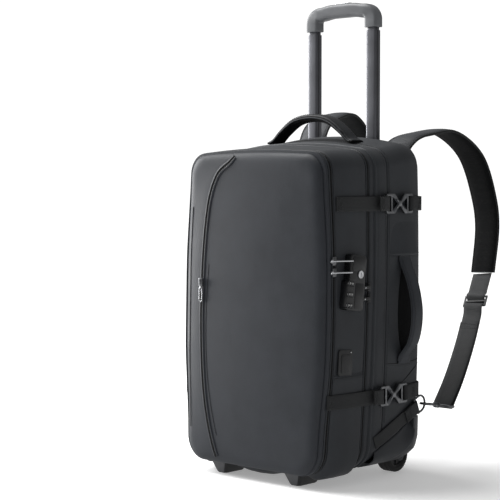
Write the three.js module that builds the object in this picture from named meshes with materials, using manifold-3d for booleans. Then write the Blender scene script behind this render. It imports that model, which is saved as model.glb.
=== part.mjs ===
// Wheeled backpack: a soft case on two wheels and two feet, with a telescopic handle and shoulder straps.
// Millimetres. X is the width, Y runs from the front panel to the back, Z is up from the floor.
import * as THREE from 'three';
import { mergeVertices } from 'three/addons/utils/BufferGeometryUtils.js';
import Module from 'manifold-3d';

const wasm = await Module();
wasm.setup();

// Case
const caseWidth = 300;
const caseHeight = 505; // from the underside to the highest line of the top
const caseDepth = 236; // front panel to the rear wall, without the back pad
const underside = 20; // underside above the floor
const wall = 3; // padded cloth
const gap = 0.3; // between pieces that touch
const sliver = 0.01; // detail finer than this is left out of a joined solid
const topCorner = 32;
const bottomCorner = 38;
const topCrown = 12; // rise of the top above its corners, at the rear
const sidePillow = 3; // swell of the sides halfway up
const footLean = 18; // how far the lower end stands forward
const rearLift = 75; // rise of the underside at the back
const panelBulge = 6; // swell of the front panel
const frontSeam = 8; // front panel's edge seam behind its face

// Places of the zips and seams along the depth
const frontZipAt = 14;
const zipWidth = 7;
const zipSink = 1.2; // zip tape below the cloth beside it
const mainZipAt = 88;
const bandWidth = 43; // zipped expansion band, main zip to main case
const pipingAt = 14; // piping behind the main zip
const pipingRadius = 2.2;

// Back pad
const padThickness = 12;
const padMargin = 16; // cloth left free around the pad
const padReach = 0.94; // share of the back's height that the pad covers

// Pocket zip on the front panel
const pocketZipWidth = 7;
const pocketZipThickness = 1.6;
const pocketPullLength = 24;
const pullWidth = 7;
const pullThickness = 2;

// Top handle and side handle
const topHandleAhead = 90; // ahead of the rear wall
const topHandleSpan = 172;
const topHandleRise = 35;
const topHandleWidth = 30;
const handlePad = 12; // thickness of a rolled grip
const sideHandleTop = 346; // height above the floor
const sideHandleBottom = 176;
const sideHandleAhead = 57; // ahead of the rear wall
const sideHandleWidth = 30;
const sideHandleBow = 26;
const flapHem = 341;
const flapHeight = 56;
const flapWidth = 76;
const flapAhead = 18; // ahead of the rear wall
const flapStand = 9; // hem of the flap away from the side
const clothThickness = 2;

// Webbing and compression buckles
const webThickness = 1.6;
const compressionWidth = 22;
const upperStrapHeight = 420;
const lowerStrapHeight = 131;
const upperBuckleAhead = 79; // ahead of the rear wall
const lowerBuckleAhead = 85;
const buckleLength = 66;
const buckleHeight = 30;
const buckleThickness = 4;
const buckleBar = 3.6;
const webStand = 3.4; // webbing clear of the piping

// Anchor webbing, D-ring and snap hook at each rear corner
const anchorWidth = 20;
const anchorLowAhead = 115; // ahead of the rear wall
const anchorLowHeight = 60;
const anchorHighAhead = 23;
const anchorHighHeight = 104;
const ringWire = 3.4;
const ringInside = 20;
const hookWire = 4;
const hookInside = 13;
const hookLength = 30;
const eyeOpening = 8;

// Shoulder straps
const padWidth = 58;
const padEndWidth = 46;
const padStrapThickness = 9;
const shoulderWebWidth = 35;
const sliderBar = 2.4;
const sliderShare = 0.33; // slider's place along the webbing's outer run
const webClearance = 0.95; // room between webbing and the bars that it passes
const strapRootX = 86; // root of each strap from the middle
const strapSpread = 49; // pads' lower ends further out than their roots
const strapReach = 200; // pads behind the rear wall
const strapRoot = 486; // height where the straps are sewn in
const rightArch = 533; // height of the strap's centre line at the top of its arch
const leftArch = 566;
const padEnd = 303; // height of the pads' lower ends
const hookEyeBehind = 48; // eye of the snap hook behind the rear wall
const hookEyeHeight = 98;

// Telescopic handle
const tubeSpacing = 120; // centre to centre
const tubeAhead = 17; // ahead of the rear wall
const tubeWidth = 20;
const tubeDepth = 15;
const tubeCorner = 4;
const tubeWall = 1.2;
const tubeClearance = 0.4;
const midTubeLength = 330;
const innerTubeLength = 300;
const guideFloor = 88; // bottom of the fixed outer tubes
const guideSeat = 20; // reach of their seats below that
const gripHeight = 738; // top of the grip above the floor
const gripThickness = 22;
const gripDepth = 24;
const sleeveWidth = 25;
const sleeveDepth = 20;
const sleeveDrop = 41; // lower end of the sleeves below the grip's top
const sleeveLift = 5; // sleeves above the lower stage's tubes
const gripBend = 26;
const buttonLength = 32;
const buttonWidth = 11;
const buttonTravel = 3;
const buttonStand = 1.2;

// Wheels, guards and feet
const wheelRadius = 27;
const wheelWidth = 24;
const wheelX = 113;
const wheelAhead = 34; // ahead of the rear wall
const axleRadius = 3.5;
const wellClearance = 3;
const guardInner = 96; // inner edge of the wheel guards from the middle
const guardTop = 88;
const guardLength = 118; // from the rear wall forwards
const guardArcAhead = 76; // centre of the guard's curve ahead of the rear wall
const guardArcDrop = 10; // and below the guard's top
const guardReach = 6; // guard behind the rear wall
const guardArcDepth = 46; // half width and height of the curve's inner edge
const guardArcHeight = 51;
const guardStand = 3; // guard proud of the cloth
const footX = 75;
const footLength = 58;
const footTopWidth = 36;
const footBottomWidth = 18;
const footAt = 4;

// Lock, zip pulls and cable port on the right side
const lockWidth = 41;
const lockHeight = 82;
const lockThickness = 12;
const lockAt = 53;
const lockCentre = 305;
const lockTilt = 7; // degrees, top towards the back
const dialRadius = 6.5;
const dialWidth = 7;
const dialPitch = 16;
const dialCount = 3;
const dialDepth = 3; // dial's axle below the lock's face
const keyRadius = 6;
const portWidth = 32;
const portHeight = 38;
const portAt = 44;
const portCentre = 188;
const portThickness = 3;

// Shape of the case along its depth: shares of caseDepth, half the width, caseHeight, footLean and rearLift
const PROFILE = [
  { depth: 0.0, width: 0.927, height: 0.944, lean: 0.6, lift: 0.0, crown: 0.25 },
  { depth: 0.06, width: 0.96, height: 0.953, lean: 0.62, lift: 0.0, crown: 0.3 },
  { depth: 0.38, width: 0.995, height: 0.968, lean: 0.9, lift: 0.0, crown: 0.6 },
  { depth: 0.585, width: 1.0, height: 0.984, lean: 0.8, lift: 0.1, crown: 1.0 },
  { depth: 0.74, width: 1.0, height: 0.995, lean: 0.4, lift: 0.33, crown: 1.0 },
  { depth: 0.82, width: 1.0, height: 1.0, lean: 0.25, lift: 0.52, crown: 1.0 },
  { depth: 0.9, width: 0.985, height: 0.998, lean: 0.1, lift: 0.66, crown: 1.0 },
  { depth: 0.96, width: 0.945, height: 0.985, lean: 0.03, lift: 0.85, crown: 1.0 },
  { depth: 1.0, width: 0.87, height: 0.958, lean: 0.0, lift: 1.0, crown: 1.0 },
];

const halfWidth = caseWidth / 2;
const topHandleAt = caseDepth - topHandleAhead;
const sideHandleAt = caseDepth - sideHandleAhead;
const flapTo = caseDepth - flapAhead;
const flapFrom = flapTo - flapWidth;
const tubeAt = caseDepth - tubeAhead;
const wheelAt = caseDepth - wheelAhead;
const sleeveBottom = gripHeight - sleeveDrop;
const midTubeTop = sleeveBottom - sleeveLift;
const seamAt = mainZipAt + zipWidth + bandWidth;
const V = (x, y, z) => new THREE.Vector3(x, y, z);
const lerp = THREE.MathUtils.lerp;

// Mesh helpers

function signedVolume(geometry) {
  const p = geometry.attributes.position;
  const index = geometry.index.array;
  const [a, b, c] = [V(), V(), V()];
  let volume = 0;
  for (let i = 0; i < index.length; i += 3) {
    a.fromBufferAttribute(p, index[i]);
    b.fromBufferAttribute(p, index[i + 1]);
    c.fromBufferAttribute(p, index[i + 2]);
    volume += a.dot(b.cross(c)) / 6;
  }
  return volume;
}

function merged(geometry) {
  const copy = geometry.clone();
  copy.deleteAttribute('normal');
  copy.deleteAttribute('uv');
  const joined = mergeVertices(copy, 1e-4);
  if (signedVolume(joined) < 0) {
    const index = Array.from(joined.index.array);
    for (let i = 0; i < index.length; i += 3) {
      [index[i + 1], index[i + 2]] = [index[i + 2], index[i + 1]];
    }
    joined.setIndex(index);
  }
  return joined;
}

function toSolid(geometry) {
  const mesh = merged(geometry);
  return new wasm.Manifold(new wasm.Mesh({
    numProp: 3,
    vertProperties: new Float32Array(mesh.attributes.position.array),
    triVerts: new Uint32Array(mesh.index.array),
  }));
}

function toGeometry(solid) {
  const mesh = solid.simplify(sliver).getMesh();
  const geometry = new THREE.BufferGeometry();
  geometry.setAttribute('position', new THREE.BufferAttribute(new Float32Array(mesh.vertProperties), 3));
  geometry.setIndex(new THREE.BufferAttribute(new Uint32Array(mesh.triVerts), 1));
  return geometry;
}

const cut = (base, ...tools) => toGeometry(tools.reduce((s, t) => s.subtract(toSolid(t)), toSolid(base)));
const join = (base, ...others) => toGeometry(others.reduce((s, t) => s.add(toSolid(t)), toSolid(base)));
const common = (base, other) => toGeometry(toSolid(base).intersect(toSolid(other)));

// A closed solid through rings of equal length: ends capped from their middles, or joined into a loop.
function loft(rings, looped = false) {
  const n = rings[0].length;
  const positions = rings.flat().flatMap((p) => [p.x, p.y, p.z]);
  const index = [];
  const last = looped ? rings.length : rings.length - 1;
  for (let i = 0; i < last; i++) {
    const a = i * n;
    const b = ((i + 1) % rings.length) * n;
    for (let j = 0; j < n; j++) {
      const k = (j + 1) % n;
      index.push(a + j, b + j, b + k, a + j, b + k, a + k);
    }
  }
  if (!looped) {
    for (const [start, flip] of [[0, false], [(rings.length - 1) * n, true]]) {
      const ring = rings[start / n];
      const middle = ring.reduce((s, p) => s.add(p), V(0, 0, 0)).divideScalar(n);
      const centre = positions.length / 3;
      positions.push(middle.x, middle.y, middle.z);
      for (let j = 0; j < n; j++) {
        const k = (j + 1) % n;
        index.push(centre, start + (flip ? k : j), start + (flip ? j : k));
      }
    }
  }
  const geometry = new THREE.BufferGeometry();
  geometry.setAttribute('position', new THREE.Float32BufferAttribute(positions, 3));
  geometry.setIndex(index);
  return merged(geometry);
}

// Corners of a rectangle rounded by `round`, as [across, out] pairs.
function rounded(across, out, round, steps = 2) {
  const points = [];
  for (let q = 0; q < 4; q++) {
    const sx = q === 0 || q === 3 ? 1 : -1;
    const sy = q < 2 ? 1 : -1;
    for (let s = 0; s <= steps; s++) {
      const angle = (q + s / steps) * Math.PI / 2;
      points.push([
        sx * (across / 2 - round) + round * Math.cos(angle),
        sy * (out / 2 - round) + round * Math.sin(angle),
      ]);
    }
  }
  return points;
}

function circle(radius, sides) {
  return Array.from({ length: sides }, (_, i) => {
    const angle = (i / sides) * Math.PI * 2;
    return [radius * Math.cos(angle), radius * Math.sin(angle)];
  });
}

// A solid swept along points; `across` is the direction of the section's first coordinate.
function sweep(points, section, across, looped = false) {
  const count = points.length;
  const rings = points.map((point, i) => {
    const before = points[looped ? (i - 1 + count) % count : Math.max(i - 1, 0)];
    const after = points[looped ? (i + 1) % count : Math.min(i + 1, count - 1)];
    const along = after.clone().sub(before).normalize();
    const wide = (typeof across === 'function' ? across(i / (count - 1)) : across).clone();
    wide.addScaledVector(along, -wide.dot(along)).normalize();
    const out = along.clone().cross(wide).normalize();
    const shape = typeof section === 'function' ? section(i / (count - 1)) : section;
    return shape.map(([u, v]) => point.clone().addScaledVector(wide, u).addScaledVector(out, v));
  });
  return loft(rings, looped);
}

const smooth = (points, steps) => new THREE.CatmullRomCurve3(points, false, 'centripetal').getPoints(steps);

function block(width, depth, height, x = 0, y = 0, z = 0) {
  return new THREE.BoxGeometry(width, depth, height).translate(x, y, z);
}

function rod(radius, length, sides, x = 0, y = 0, z = 0) {
  return new THREE.CylinderGeometry(radius, radius, length, sides).rotateZ(Math.PI / 2).translate(x, y, z);
}

function plate(outline, thickness, holes = []) {
  const edge = outline.map(([x, y]) => new THREE.Vector2(x, y));
  const shape = new THREE.Shape(THREE.ShapeUtils.isClockWise(edge) ? edge.reverse() : edge);
  for (const hole of holes) {
    shape.holes.push(new THREE.Path(hole.map(([x, y]) => new THREE.Vector2(x, y))));
  }
  return new THREE.ExtrudeGeometry(shape, { depth: thickness, bevelEnabled: false, steps: 1 });
}

// Outline of the case

function profileAt(y) {
  const share = THREE.MathUtils.clamp(y / caseDepth, 0, 1);
  let i = 1;
  while (i < PROFILE.length - 1 && PROFILE[i].depth < share) i++;
  const [a, b] = [PROFILE[i - 1], PROFILE[i]];
  const t = (share - a.depth) / (b.depth - a.depth);
  return Object.fromEntries(Object.keys(a).map((key) => [key, lerp(a[key], b[key], t)]));
}

// How far the case stands forward at a height, for a place along its depth.
function leanAt(y, z) {
  const h = THREE.MathUtils.clamp((z - underside) / caseHeight, 0, 1);
  return footLean * profileAt(y).lean * (1 - h) ** 2;
}

// The case's cross-section at depth y, moved outwards by `grow`; `sink` leaves out the rear lift.
function outline(y, grow = 0, lifted = true) {
  const row = profileAt(y);
  const w = halfWidth * row.width + grow;
  const bottom = underside + (lifted ? rearLift * row.lift : 0) - grow;
  const top = underside + caseHeight * row.height + grow;
  const rTop = Math.max(topCorner + grow, 4);
  const rBottom = Math.max(bottomCorner + grow, 4);
  const slope = Math.atan(2 * topCrown * row.crown / (w - rTop));
  const reach = w - rTop * (1 - Math.sin(slope));
  const crown = Math.tan(slope) * reach / 2;
  const half = [];
  for (const s of [0.35, 0.7]) {
    half.push([reach * s, top - crown * s * s]);
  }
  const shoulder = top - crown - rTop * Math.cos(slope);
  for (let i = 0; i <= 4; i++) {
    const angle = Math.PI / 2 - slope - (i / 4) * (Math.PI / 2 - slope);
    half.push([w - rTop + rTop * Math.cos(angle), shoulder + rTop * Math.sin(angle)]);
  }
  const hip = bottom + rBottom;
  for (const t of [0.25, 0.5, 0.75]) {
    half.push([w + sidePillow * 4 * t * (1 - t), lerp(shoulder, hip, t)]);
  }
  for (let i = 0; i <= 3; i++) {
    const angle = -(i / 3) * Math.PI / 2;
    half.push([w - rBottom + rBottom * Math.cos(angle), hip + rBottom * Math.sin(angle)]);
  }
  const other = half.slice().reverse().map(([x, z]) => [-x, z]);
  return [[0, top], ...half, [0, bottom], ...other];
}

function ring(y, grow = 0, shift = 0, lifted = true) {
  return outline(y, grow, lifted).map(([x, z]) => V(x, y + shift - leanAt(y, z), z));
}

// Width of the case at a depth and height, and height of its top at a depth and width.
function sideX(y, z) {
  const half = outline(y).slice(7, 12);
  const i = half.findIndex(([, height]) => height <= z);
  if (i < 0) return half[half.length - 1][0];
  if (i === 0) return half[0][0];
  const [[xa, za], [xb, zb]] = [half[i - 1], half[i]];
  return lerp(xa, xb, (za - z) / (za - zb));
}

function topZ(y, x) {
  const points = outline(y).slice(0, 8);
  const i = Math.max(points.findIndex(([across]) => across >= Math.abs(x)), 1);
  const [[xa, za], [xb, zb]] = [points[i - 1], points[i]];
  return lerp(za, zb, (Math.abs(x) - xa) / (xb - xa));
}

// Point beside the case: side is 1 for the right side and -1 for the left.
function besideCase(side, y, z, stand) {
  return V(side * (sideX(y, z) + stand), y - leanAt(y, z), z);
}

// Front panel: insets of the rings of its face from the seam, and how far each lies behind the face
const FACE = [
  { inset: 0, behind: 1.0 },
  { inset: 0.03, behind: 0.32 },
  { inset: 0.08, behind: 0.05 },
  { inset: 0.4, behind: 0.0 },
  { inset: 0.75, behind: 0.0 },
];

const faceMiddle = underside + caseHeight * PROFILE[0].height / 2;
const faceHalfHeight = caseHeight * PROFILE[0].height / 2;

function faceY(x, z) {
  const u = x / (halfWidth * PROFILE[0].width);
  const v = (z - faceMiddle) / faceHalfHeight;
  const swell = Math.max(1 - u * u, 0) * Math.max(1 - v * v * v * v, 0);
  return -panelBulge * swell - leanAt(0, z);
}

function faceRing(row, grow) {
  return outline(0, grow).map(([x, z]) => {
    const px = x * (1 - row.inset);
    const pz = faceMiddle + (z - faceMiddle) * (1 - row.inset * halfWidth / faceHalfHeight);
    return V(px, faceY(px, pz) + frontSeam * row.behind - grow, pz);
  });
}

const faceRings = (grow) => FACE.map((row) => faceRing(row, grow)).reverse();

// The whole case as one solid, moved outwards, for cutting what seats on it.
function caseBody(grow, lifted = true) {
  const depths = [frontZipAt, ...PROFILE.slice(2).map((row) => row.depth * caseDepth)];
  const rings = depths.map((y) => ring(y, grow, 0, lifted));
  return loft([...faceRings(grow), ...rings, ring(caseDepth, grow, grow, lifted)]);
}

const fitted = caseBody(gap);

// Materials
const cloth = new THREE.MeshStandardMaterial({ color: 0x33363a, roughness: 0.72, metalness: 0 });
const web = new THREE.MeshStandardMaterial({ color: 0x1b1d1f, roughness: 0.9, metalness: 0 });
const mesh3d = new THREE.MeshStandardMaterial({ color: 0x141516, roughness: 0.95, metalness: 0 });
const zipTape = new THREE.MeshStandardMaterial({ color: 0x111213, roughness: 0.6, metalness: 0 });
const gunmetal = new THREE.MeshStandardMaterial({ color: 0x5d6063, roughness: 0.38, metalness: 0.9 });
const tubeMetal = new THREE.MeshStandardMaterial({ color: 0x8a8b8d, roughness: 0.34, metalness: 0.9 });
const gripPlastic = new THREE.MeshStandardMaterial({ color: 0x77797b, roughness: 0.42, metalness: 0.1 });
const guardPlastic = new THREE.MeshStandardMaterial({ color: 0x5c5e61, roughness: 0.5, metalness: 0 });
const blackPlastic = new THREE.MeshStandardMaterial({ color: 0x17181a, roughness: 0.45, metalness: 0 });
const silver = new THREE.MeshStandardMaterial({ color: 0xb9bcbf, roughness: 0.3, metalness: 1 });
const tyre = new THREE.MeshStandardMaterial({ color: 0x1a1a1b, roughness: 0.85, metalness: 0 });

const model = new THREE.Group();

function addPiece(name, geometry, material) {
  const mesh = new THREE.Mesh(merged(geometry), material);
  mesh.name = name;
  model.add(mesh);
  return mesh;
}

// Case shells

function frontPanel() {
  const back = frontZipAt - gap;
  const inner = faceRings(-wall).map((points) => points.map((p) => p));
  return loft([...faceRings(0), ring(back), ring(back, -wall), ...inner.reverse()]);
}

function band(from, to, rows, thickness = wall) {
  const outer = rows.map(({ at, rise }) => ring(lerp(from, to, at), rise));
  const inner = [ring(to, -thickness), ring(from, -thickness)];
  return loft([...outer, ...inner], true);
}

const flatBand = [{ at: 0, rise: 0 }, { at: 1, rise: 0 }];
const zipBand = [{ at: 0, rise: -zipSink }, { at: 0.4, rise: -zipSink }, { at: 0.5, rise: 0 }, { at: 1, rise: -zipSink }];

function lidGusset() {
  const from = frontZipAt + zipWidth + gap;
  const to = mainZipAt - gap;
  return loft([
    ring(to), ring(from), ring(from, -wall), ring(to - wall, -wall),
  ]);
}

function expansionBand() {
  const from = mainZipAt + zipWidth + gap;
  const to = seamAt - gap;
  const share = (y) => (y - mainZipAt - zipWidth) / bandWidth;
  const half = pipingRadius / bandWidth;
  const centre = share(mainZipAt + zipWidth + pipingAt);
  return band(from, to, [
    { at: 0, rise: 0 },
    { at: centre - 2 * half, rise: 0 },
    { at: centre - half, rise: pipingRadius },
    { at: centre + half, rise: pipingRadius },
    { at: centre + 2 * half, rise: 0 },
    { at: 1, rise: 0 },
  ]);
}

function tubeSection(extra) {
  return rounded(tubeWidth + 2 * extra, tubeDepth + 2 * extra, tubeCorner + extra, 2);
}

function tubePath(bottom, top, side, extra) {
  return plate(tubeSection(extra), top - bottom).translate(side * tubeSpacing / 2, tubeAt, bottom);
}

function mainCase() {
  const depths = PROFILE.map((row) => row.depth * caseDepth).filter((y) => y > seamAt + 1);
  const inside = depths.filter((y) => y < caseDepth - 2 * wall);
  const shell = loft([
    ...depths.slice().reverse().map((y) => ring(y)),
    ring(seamAt), ring(seamAt, -wall),
    ...inside.map((y) => ring(y, -wall)),
    ring(caseDepth, -wall, -wall),
  ]);
  const flap = sideFlap();
  const guides = [1, -1].map((s) => tubePath(underside, guideFloor + 2 * wall, s, 2 * tubeClearance + tubeWall + gap));
  const exits = [1, -1].map((s) => tubePath(guideTop - tubeDepth, gripHeight, s, tubeClearance));
  return cut(join(shell, flap), ...guides, ...exits);
}

// Cloth flap over the upper end of the side handle, open along its hem. Columns are shares of its width
// and of flapStand.
const FLAP = [
  { along: 0, stand: 0 },
  { along: 0.15, stand: 0.85 },
  { along: 0.5, stand: 1 },
  { along: 0.85, stand: 0.85 },
  { along: 1, stand: 0 },
];

function sideFlap() {
  const rings = [0, 0.2, 0.6, 1].map((t) => {
    const point = ({ along, stand }, thickness) => besideCase(
      1, lerp(flapFrom, flapTo, along), flapHem + flapHeight * t,
      flapStand * stand * (1 - t) ** 0.7 - 2 * gap + thickness,
    );
    return [
      ...FLAP.map((row) => point(row, clothThickness)),
      ...FLAP.slice().reverse().map((row) => point(row, 0)),
    ];
  });
  return loft(rings);
}

const guideTop = topZ(tubeAt + tubeDepth, tubeSpacing / 2 + tubeWidth) - wall - 1;

// Pad against the back, short of the top where the shoulder straps are sewn in.
function backPanel() {
  const rows = [
    { inset: padMargin, back: gap },
    { inset: padMargin, back: padThickness * 0.6 },
    { inset: padMargin * 1.4, back: padThickness * 0.9 },
    { inset: padMargin * 3, back: padThickness },
  ];
  const foot = underside + rearLift;
  return loft(rows.map(({ inset, back }) => ring(caseDepth, -inset, back)
    .map((p) => V(p.x, p.y, foot + (p.z - foot) * padReach))));
}

addPiece('front_panel', frontPanel(), cloth);
addPiece('front_zipper', band(frontZipAt, frontZipAt + zipWidth, zipBand), zipTape);
addPiece('lid_gusset', lidGusset(), cloth);
addPiece('main_zipper', band(mainZipAt, mainZipAt + zipWidth, zipBand), zipTape);
addPiece('expansion_band', expansionBand(), cloth);
addPiece('main_case', mainCase(), cloth);
addPiece('back_panel', backPanel(), mesh3d);

// Front pocket zip: places across and up the front panel, as shares of half the width and of caseHeight
const POCKET_ZIP = [
  { across: -0.30, up: 0.915 },
  { across: -0.44, up: 0.885 },
  { across: -0.545, up: 0.825 },
  { across: -0.61, up: 0.73 },
  { across: -0.65, up: 0.6 },
  { across: -0.665, up: 0.47 },
  { across: -0.65, up: 0.34 },
  { across: -0.61, up: 0.22 },
  { across: -0.54, up: 0.12 },
  { across: -0.46, up: 0.045 },
];
const pocketPullAt = 0.5; // share of the zip's length
const pocketSteps = 18;

function onFace(across, up, stand) {
  const x = halfWidth * across;
  const z = underside + caseHeight * up;
  return V(x, faceY(x, z) - stand, z);
}

const pocketLine = smooth(POCKET_ZIP.map((row) => onFace(row.across, row.up, 0)), pocketSteps)
  .map((p) => V(p.x, faceY(p.x, p.z) - 2 * gap - pocketZipThickness / 2, p.z));
const flatSection = (width, thickness) => [
  [width / 2, thickness / 2], [-width / 2, thickness / 2],
  [-width / 2, -thickness / 2], [width / 2, -thickness / 2],
];
const pocketStrip = sweep(pocketLine, flatSection(pocketZipWidth, pocketZipThickness), V(1, 0, 0));
const pullPlace = pocketLine[Math.round(pocketPullAt * pocketSteps)];
const sliderBody = block(9, 4.4, 13, pullPlace.x, pullPlace.y - 2.2, pullPlace.z + 7.5);
addPiece('pocket_zipper', join(pocketStrip, sliderBody), zipTape);

// Pull tab of the front pocket, hanging in front of its zip
const pocketPull = plate(rounded(pullWidth, pocketPullLength, 2, 1), pullThickness)
  .rotateX(Math.PI / 2)
  .translate(
    pullPlace.x,
    pullPlace.y - pocketZipThickness / 2 - 3 * gap,
    pullPlace.z + gap - pocketPullLength / 2,
  );
addPiece('pocket_pull', pocketPull, silver);

// Handles
const topHandleSection = (t) => {
  const grip = Math.sin(Math.PI * t) ** 0.6;
  return rounded(topHandleWidth - 4 * grip, lerp(4, handlePad, grip), lerp(1.5, 5, grip), 1);
};

// Arch of the top handle: shares of half its span and of its rise
const TOP_HANDLE = [
  { across: -1, rise: 0 },
  { across: -0.9, rise: 0.03 },
  { across: -0.7, rise: 0.42 },
  { across: -0.4, rise: 0.86 },
  { across: 0, rise: 1 },
];

function archPoint({ across, rise }, sign) {
  const x = sign * across * topHandleSpan / 2;
  const seat = 2 + 2 * gap;
  return V(x, topHandleAt, topZ(topHandleAt, x) + lerp(seat, topHandleRise, rise));
}

const archPoints = [
  ...TOP_HANDLE.map((row) => archPoint(row, 1)),
  ...TOP_HANDLE.slice(0, -1).reverse().map((row) => archPoint(row, -1)),
];
const topHandle = sweep(smooth(archPoints, 16), topHandleSection, V(0, 1, 0));
addPiece('top_handle', cut(topHandle, fitted), cloth);

// Bow of the side handle: shares of its length and of its bow
const SIDE_HANDLE = [
  { along: 0, bow: 0 },
  { along: 0.08, bow: 0.02 },
  { along: 0.28, bow: 0.62 },
  { along: 0.55, bow: 1 },
  { along: 0.8, bow: 0.72 },
  { along: 0.94, bow: 0.04 },
  { along: 1, bow: 0 },
];
const sideHandlePath = smooth(SIDE_HANDLE.map(({ along, bow }) => {
  const z = lerp(sideHandleTop, sideHandleBottom, along);
  return besideCase(1, sideHandleAt, z, 1.5 + 2 * gap + sideHandleBow * bow);
}), 14);
const sideHandleSection = (t) => {
  const grip = Math.sin(Math.PI * t) ** 0.8;
  return rounded(sideHandleWidth, lerp(3, 8, grip), lerp(1.2, 3.5, grip), 1);
};
addPiece('side_handle', cut(sweep(sideHandlePath, sideHandleSection, V(0, 1, 0)), fitted), cloth);

// Webbing
const webSection = (width) => flatSection(width, webThickness);

// Half turn of webbing around a bar: from below it, round its far side, to above it.
function turnRound(place, radius, steps = 4) {
  return Array.from({ length: steps + 1 }, (_, i) => {
    const angle = -Math.PI / 2 + (i / steps) * Math.PI;
    return place(radius * Math.cos(angle), radius * Math.sin(angle));
  });
}

const barRadius = Math.hypot(buckleBar, buckleThickness) / 2;
const barTurn = barRadius + webClearance / 2 + webThickness / 2;
const buckleStand = webStand + barTurn;

// Metal compression buckle: crossed arms between two slotted ends, along Y and Z, with its middle at 0
function buckle() {
  const l = buckleLength / 2;
  const h = buckleHeight / 2;
  const slotEnd = l - buckleBar;
  const slotStart = slotEnd - barTurn * 2;
  const window = slotStart - buckleBar;
  const rim = 2;
  const notch = window * 0.7;
  const outer = [
    [-l, h - rim], [-l + rim, h], [-notch, h], [-2, h * 0.3], [2, h * 0.3], [notch, h],
    [l - rim, h], [l, h - rim], [l, rim - h], [l - rim, -h], [notch, -h], [2, -h * 0.3],
    [-2, -h * 0.3], [-notch, -h], [-l + rim, -h], [-l, rim - h],
  ];
  const holes = [];
  for (const e of [1, -1]) {
    const k = h - 2 * rim + 0.6;
    holes.push([[e * slotStart, -k], [e * slotEnd, -k], [e * slotEnd, k], [e * slotStart, k]]);
    holes.push([[e * window, -k * 0.8], [e * window, k * 0.8], [e * window * 0.3, 0]]);
  }
  return plate(outer, buckleThickness, holes).translate(0, 0, -buckleThickness / 2);
}

const buckleShape = buckle();
const toSide = new THREE.Matrix4().makeBasis(V(0, 1, 0), V(0, 0, 1), V(1, 0, 0));

function compressionStrap(side, name, from, height, buckleY) {
  const base = sideX(buckleY, height);
  const shift = leanAt(buckleY, height);
  const label = side > 0 ? 'right' : 'left';
  const placed = buckleShape.clone().applyMatrix4(toSide)
    .translate(base + buckleStand, buckleY - shift, height);
  if (side < 0) placed.scale(-1, 1, 1);
  addPiece(`${name}_buckle_${label}`, placed, gunmetal);

  const tail = 20;
  for (const end of [-1, 1]) {
    const barY = buckleY + end * (buckleLength / 2 - buckleBar / 2);
    const local = (along, out) => V(side * (base + out), barY - shift + end * along, height);
    const turn = turnRound((u, v) => local(-u, buckleStand + v), barTurn);
    const above = [local(tail * 0.5, buckleStand + barTurn), local(tail, buckleStand + barTurn * 0.9)];
    const path = [];
    const seat = webThickness / 2 + gap;
    if (end < 0) {
      path.push(besideCase(side, from, height, seat));
      path.push(besideCase(side, from + 8, height, webStand));
      path.push(besideCase(side, lerp(from, barY, 0.5), height, webStand));
    } else {
      const corner = halfWidth * PROFILE[PROFILE.length - 1].width;
      path.push(V(side * (corner - 9), caseDepth + seat + gap, height));
      path.push(V(side * (corner + 3), caseDepth + seat - 1, height));
      path.push(besideCase(side, caseDepth * 0.96, height, seat + 1.4));
      path.push(besideCase(side, caseDepth * 0.9, height, seat + 1.6));
    }
    path.push(local(4, webStand), ...turn, ...above);
    const strap = cut(sweep(path, webSection(compressionWidth), V(0, 0, 1)), fitted);
    addPiece(`${name}_strap_${end < 0 ? 'front' : 'rear'}_${label}`, strap, web);
  }
}

for (const side of [1, -1]) {
  compressionStrap(side, 'upper', frontZipAt + zipWidth + 3, upperStrapHeight, caseDepth - upperBuckleAhead);
  compressionStrap(side, 'lower', frontSeam + 4, lowerStrapHeight, caseDepth - lowerBuckleAhead);
}

// Anchor webbing, D-ring and snap hook
const anchorTurn = ringWire / 2 + webClearance / 2 + webThickness / 2;

function wireLoop(points, radius, sides = 6, looped = true) {
  const start = points[0];
  const normal = V(0, 0, 0);
  for (let i = 1; i < points.length - 1; i++) {
    normal.add(points[i].clone().sub(start).cross(points[i + 1].clone().sub(start)));
  }
  return sweep(points, circle(radius, sides), normal, looped);
}

function arc(place, cu, cv, radius, from, to, steps) {
  return Array.from({ length: steps + 1 }, (_, i) => {
    const angle = lerp(from, to, i / steps);
    return place(cu + radius * Math.cos(angle), cv + radius * Math.sin(angle));
  });
}

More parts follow.
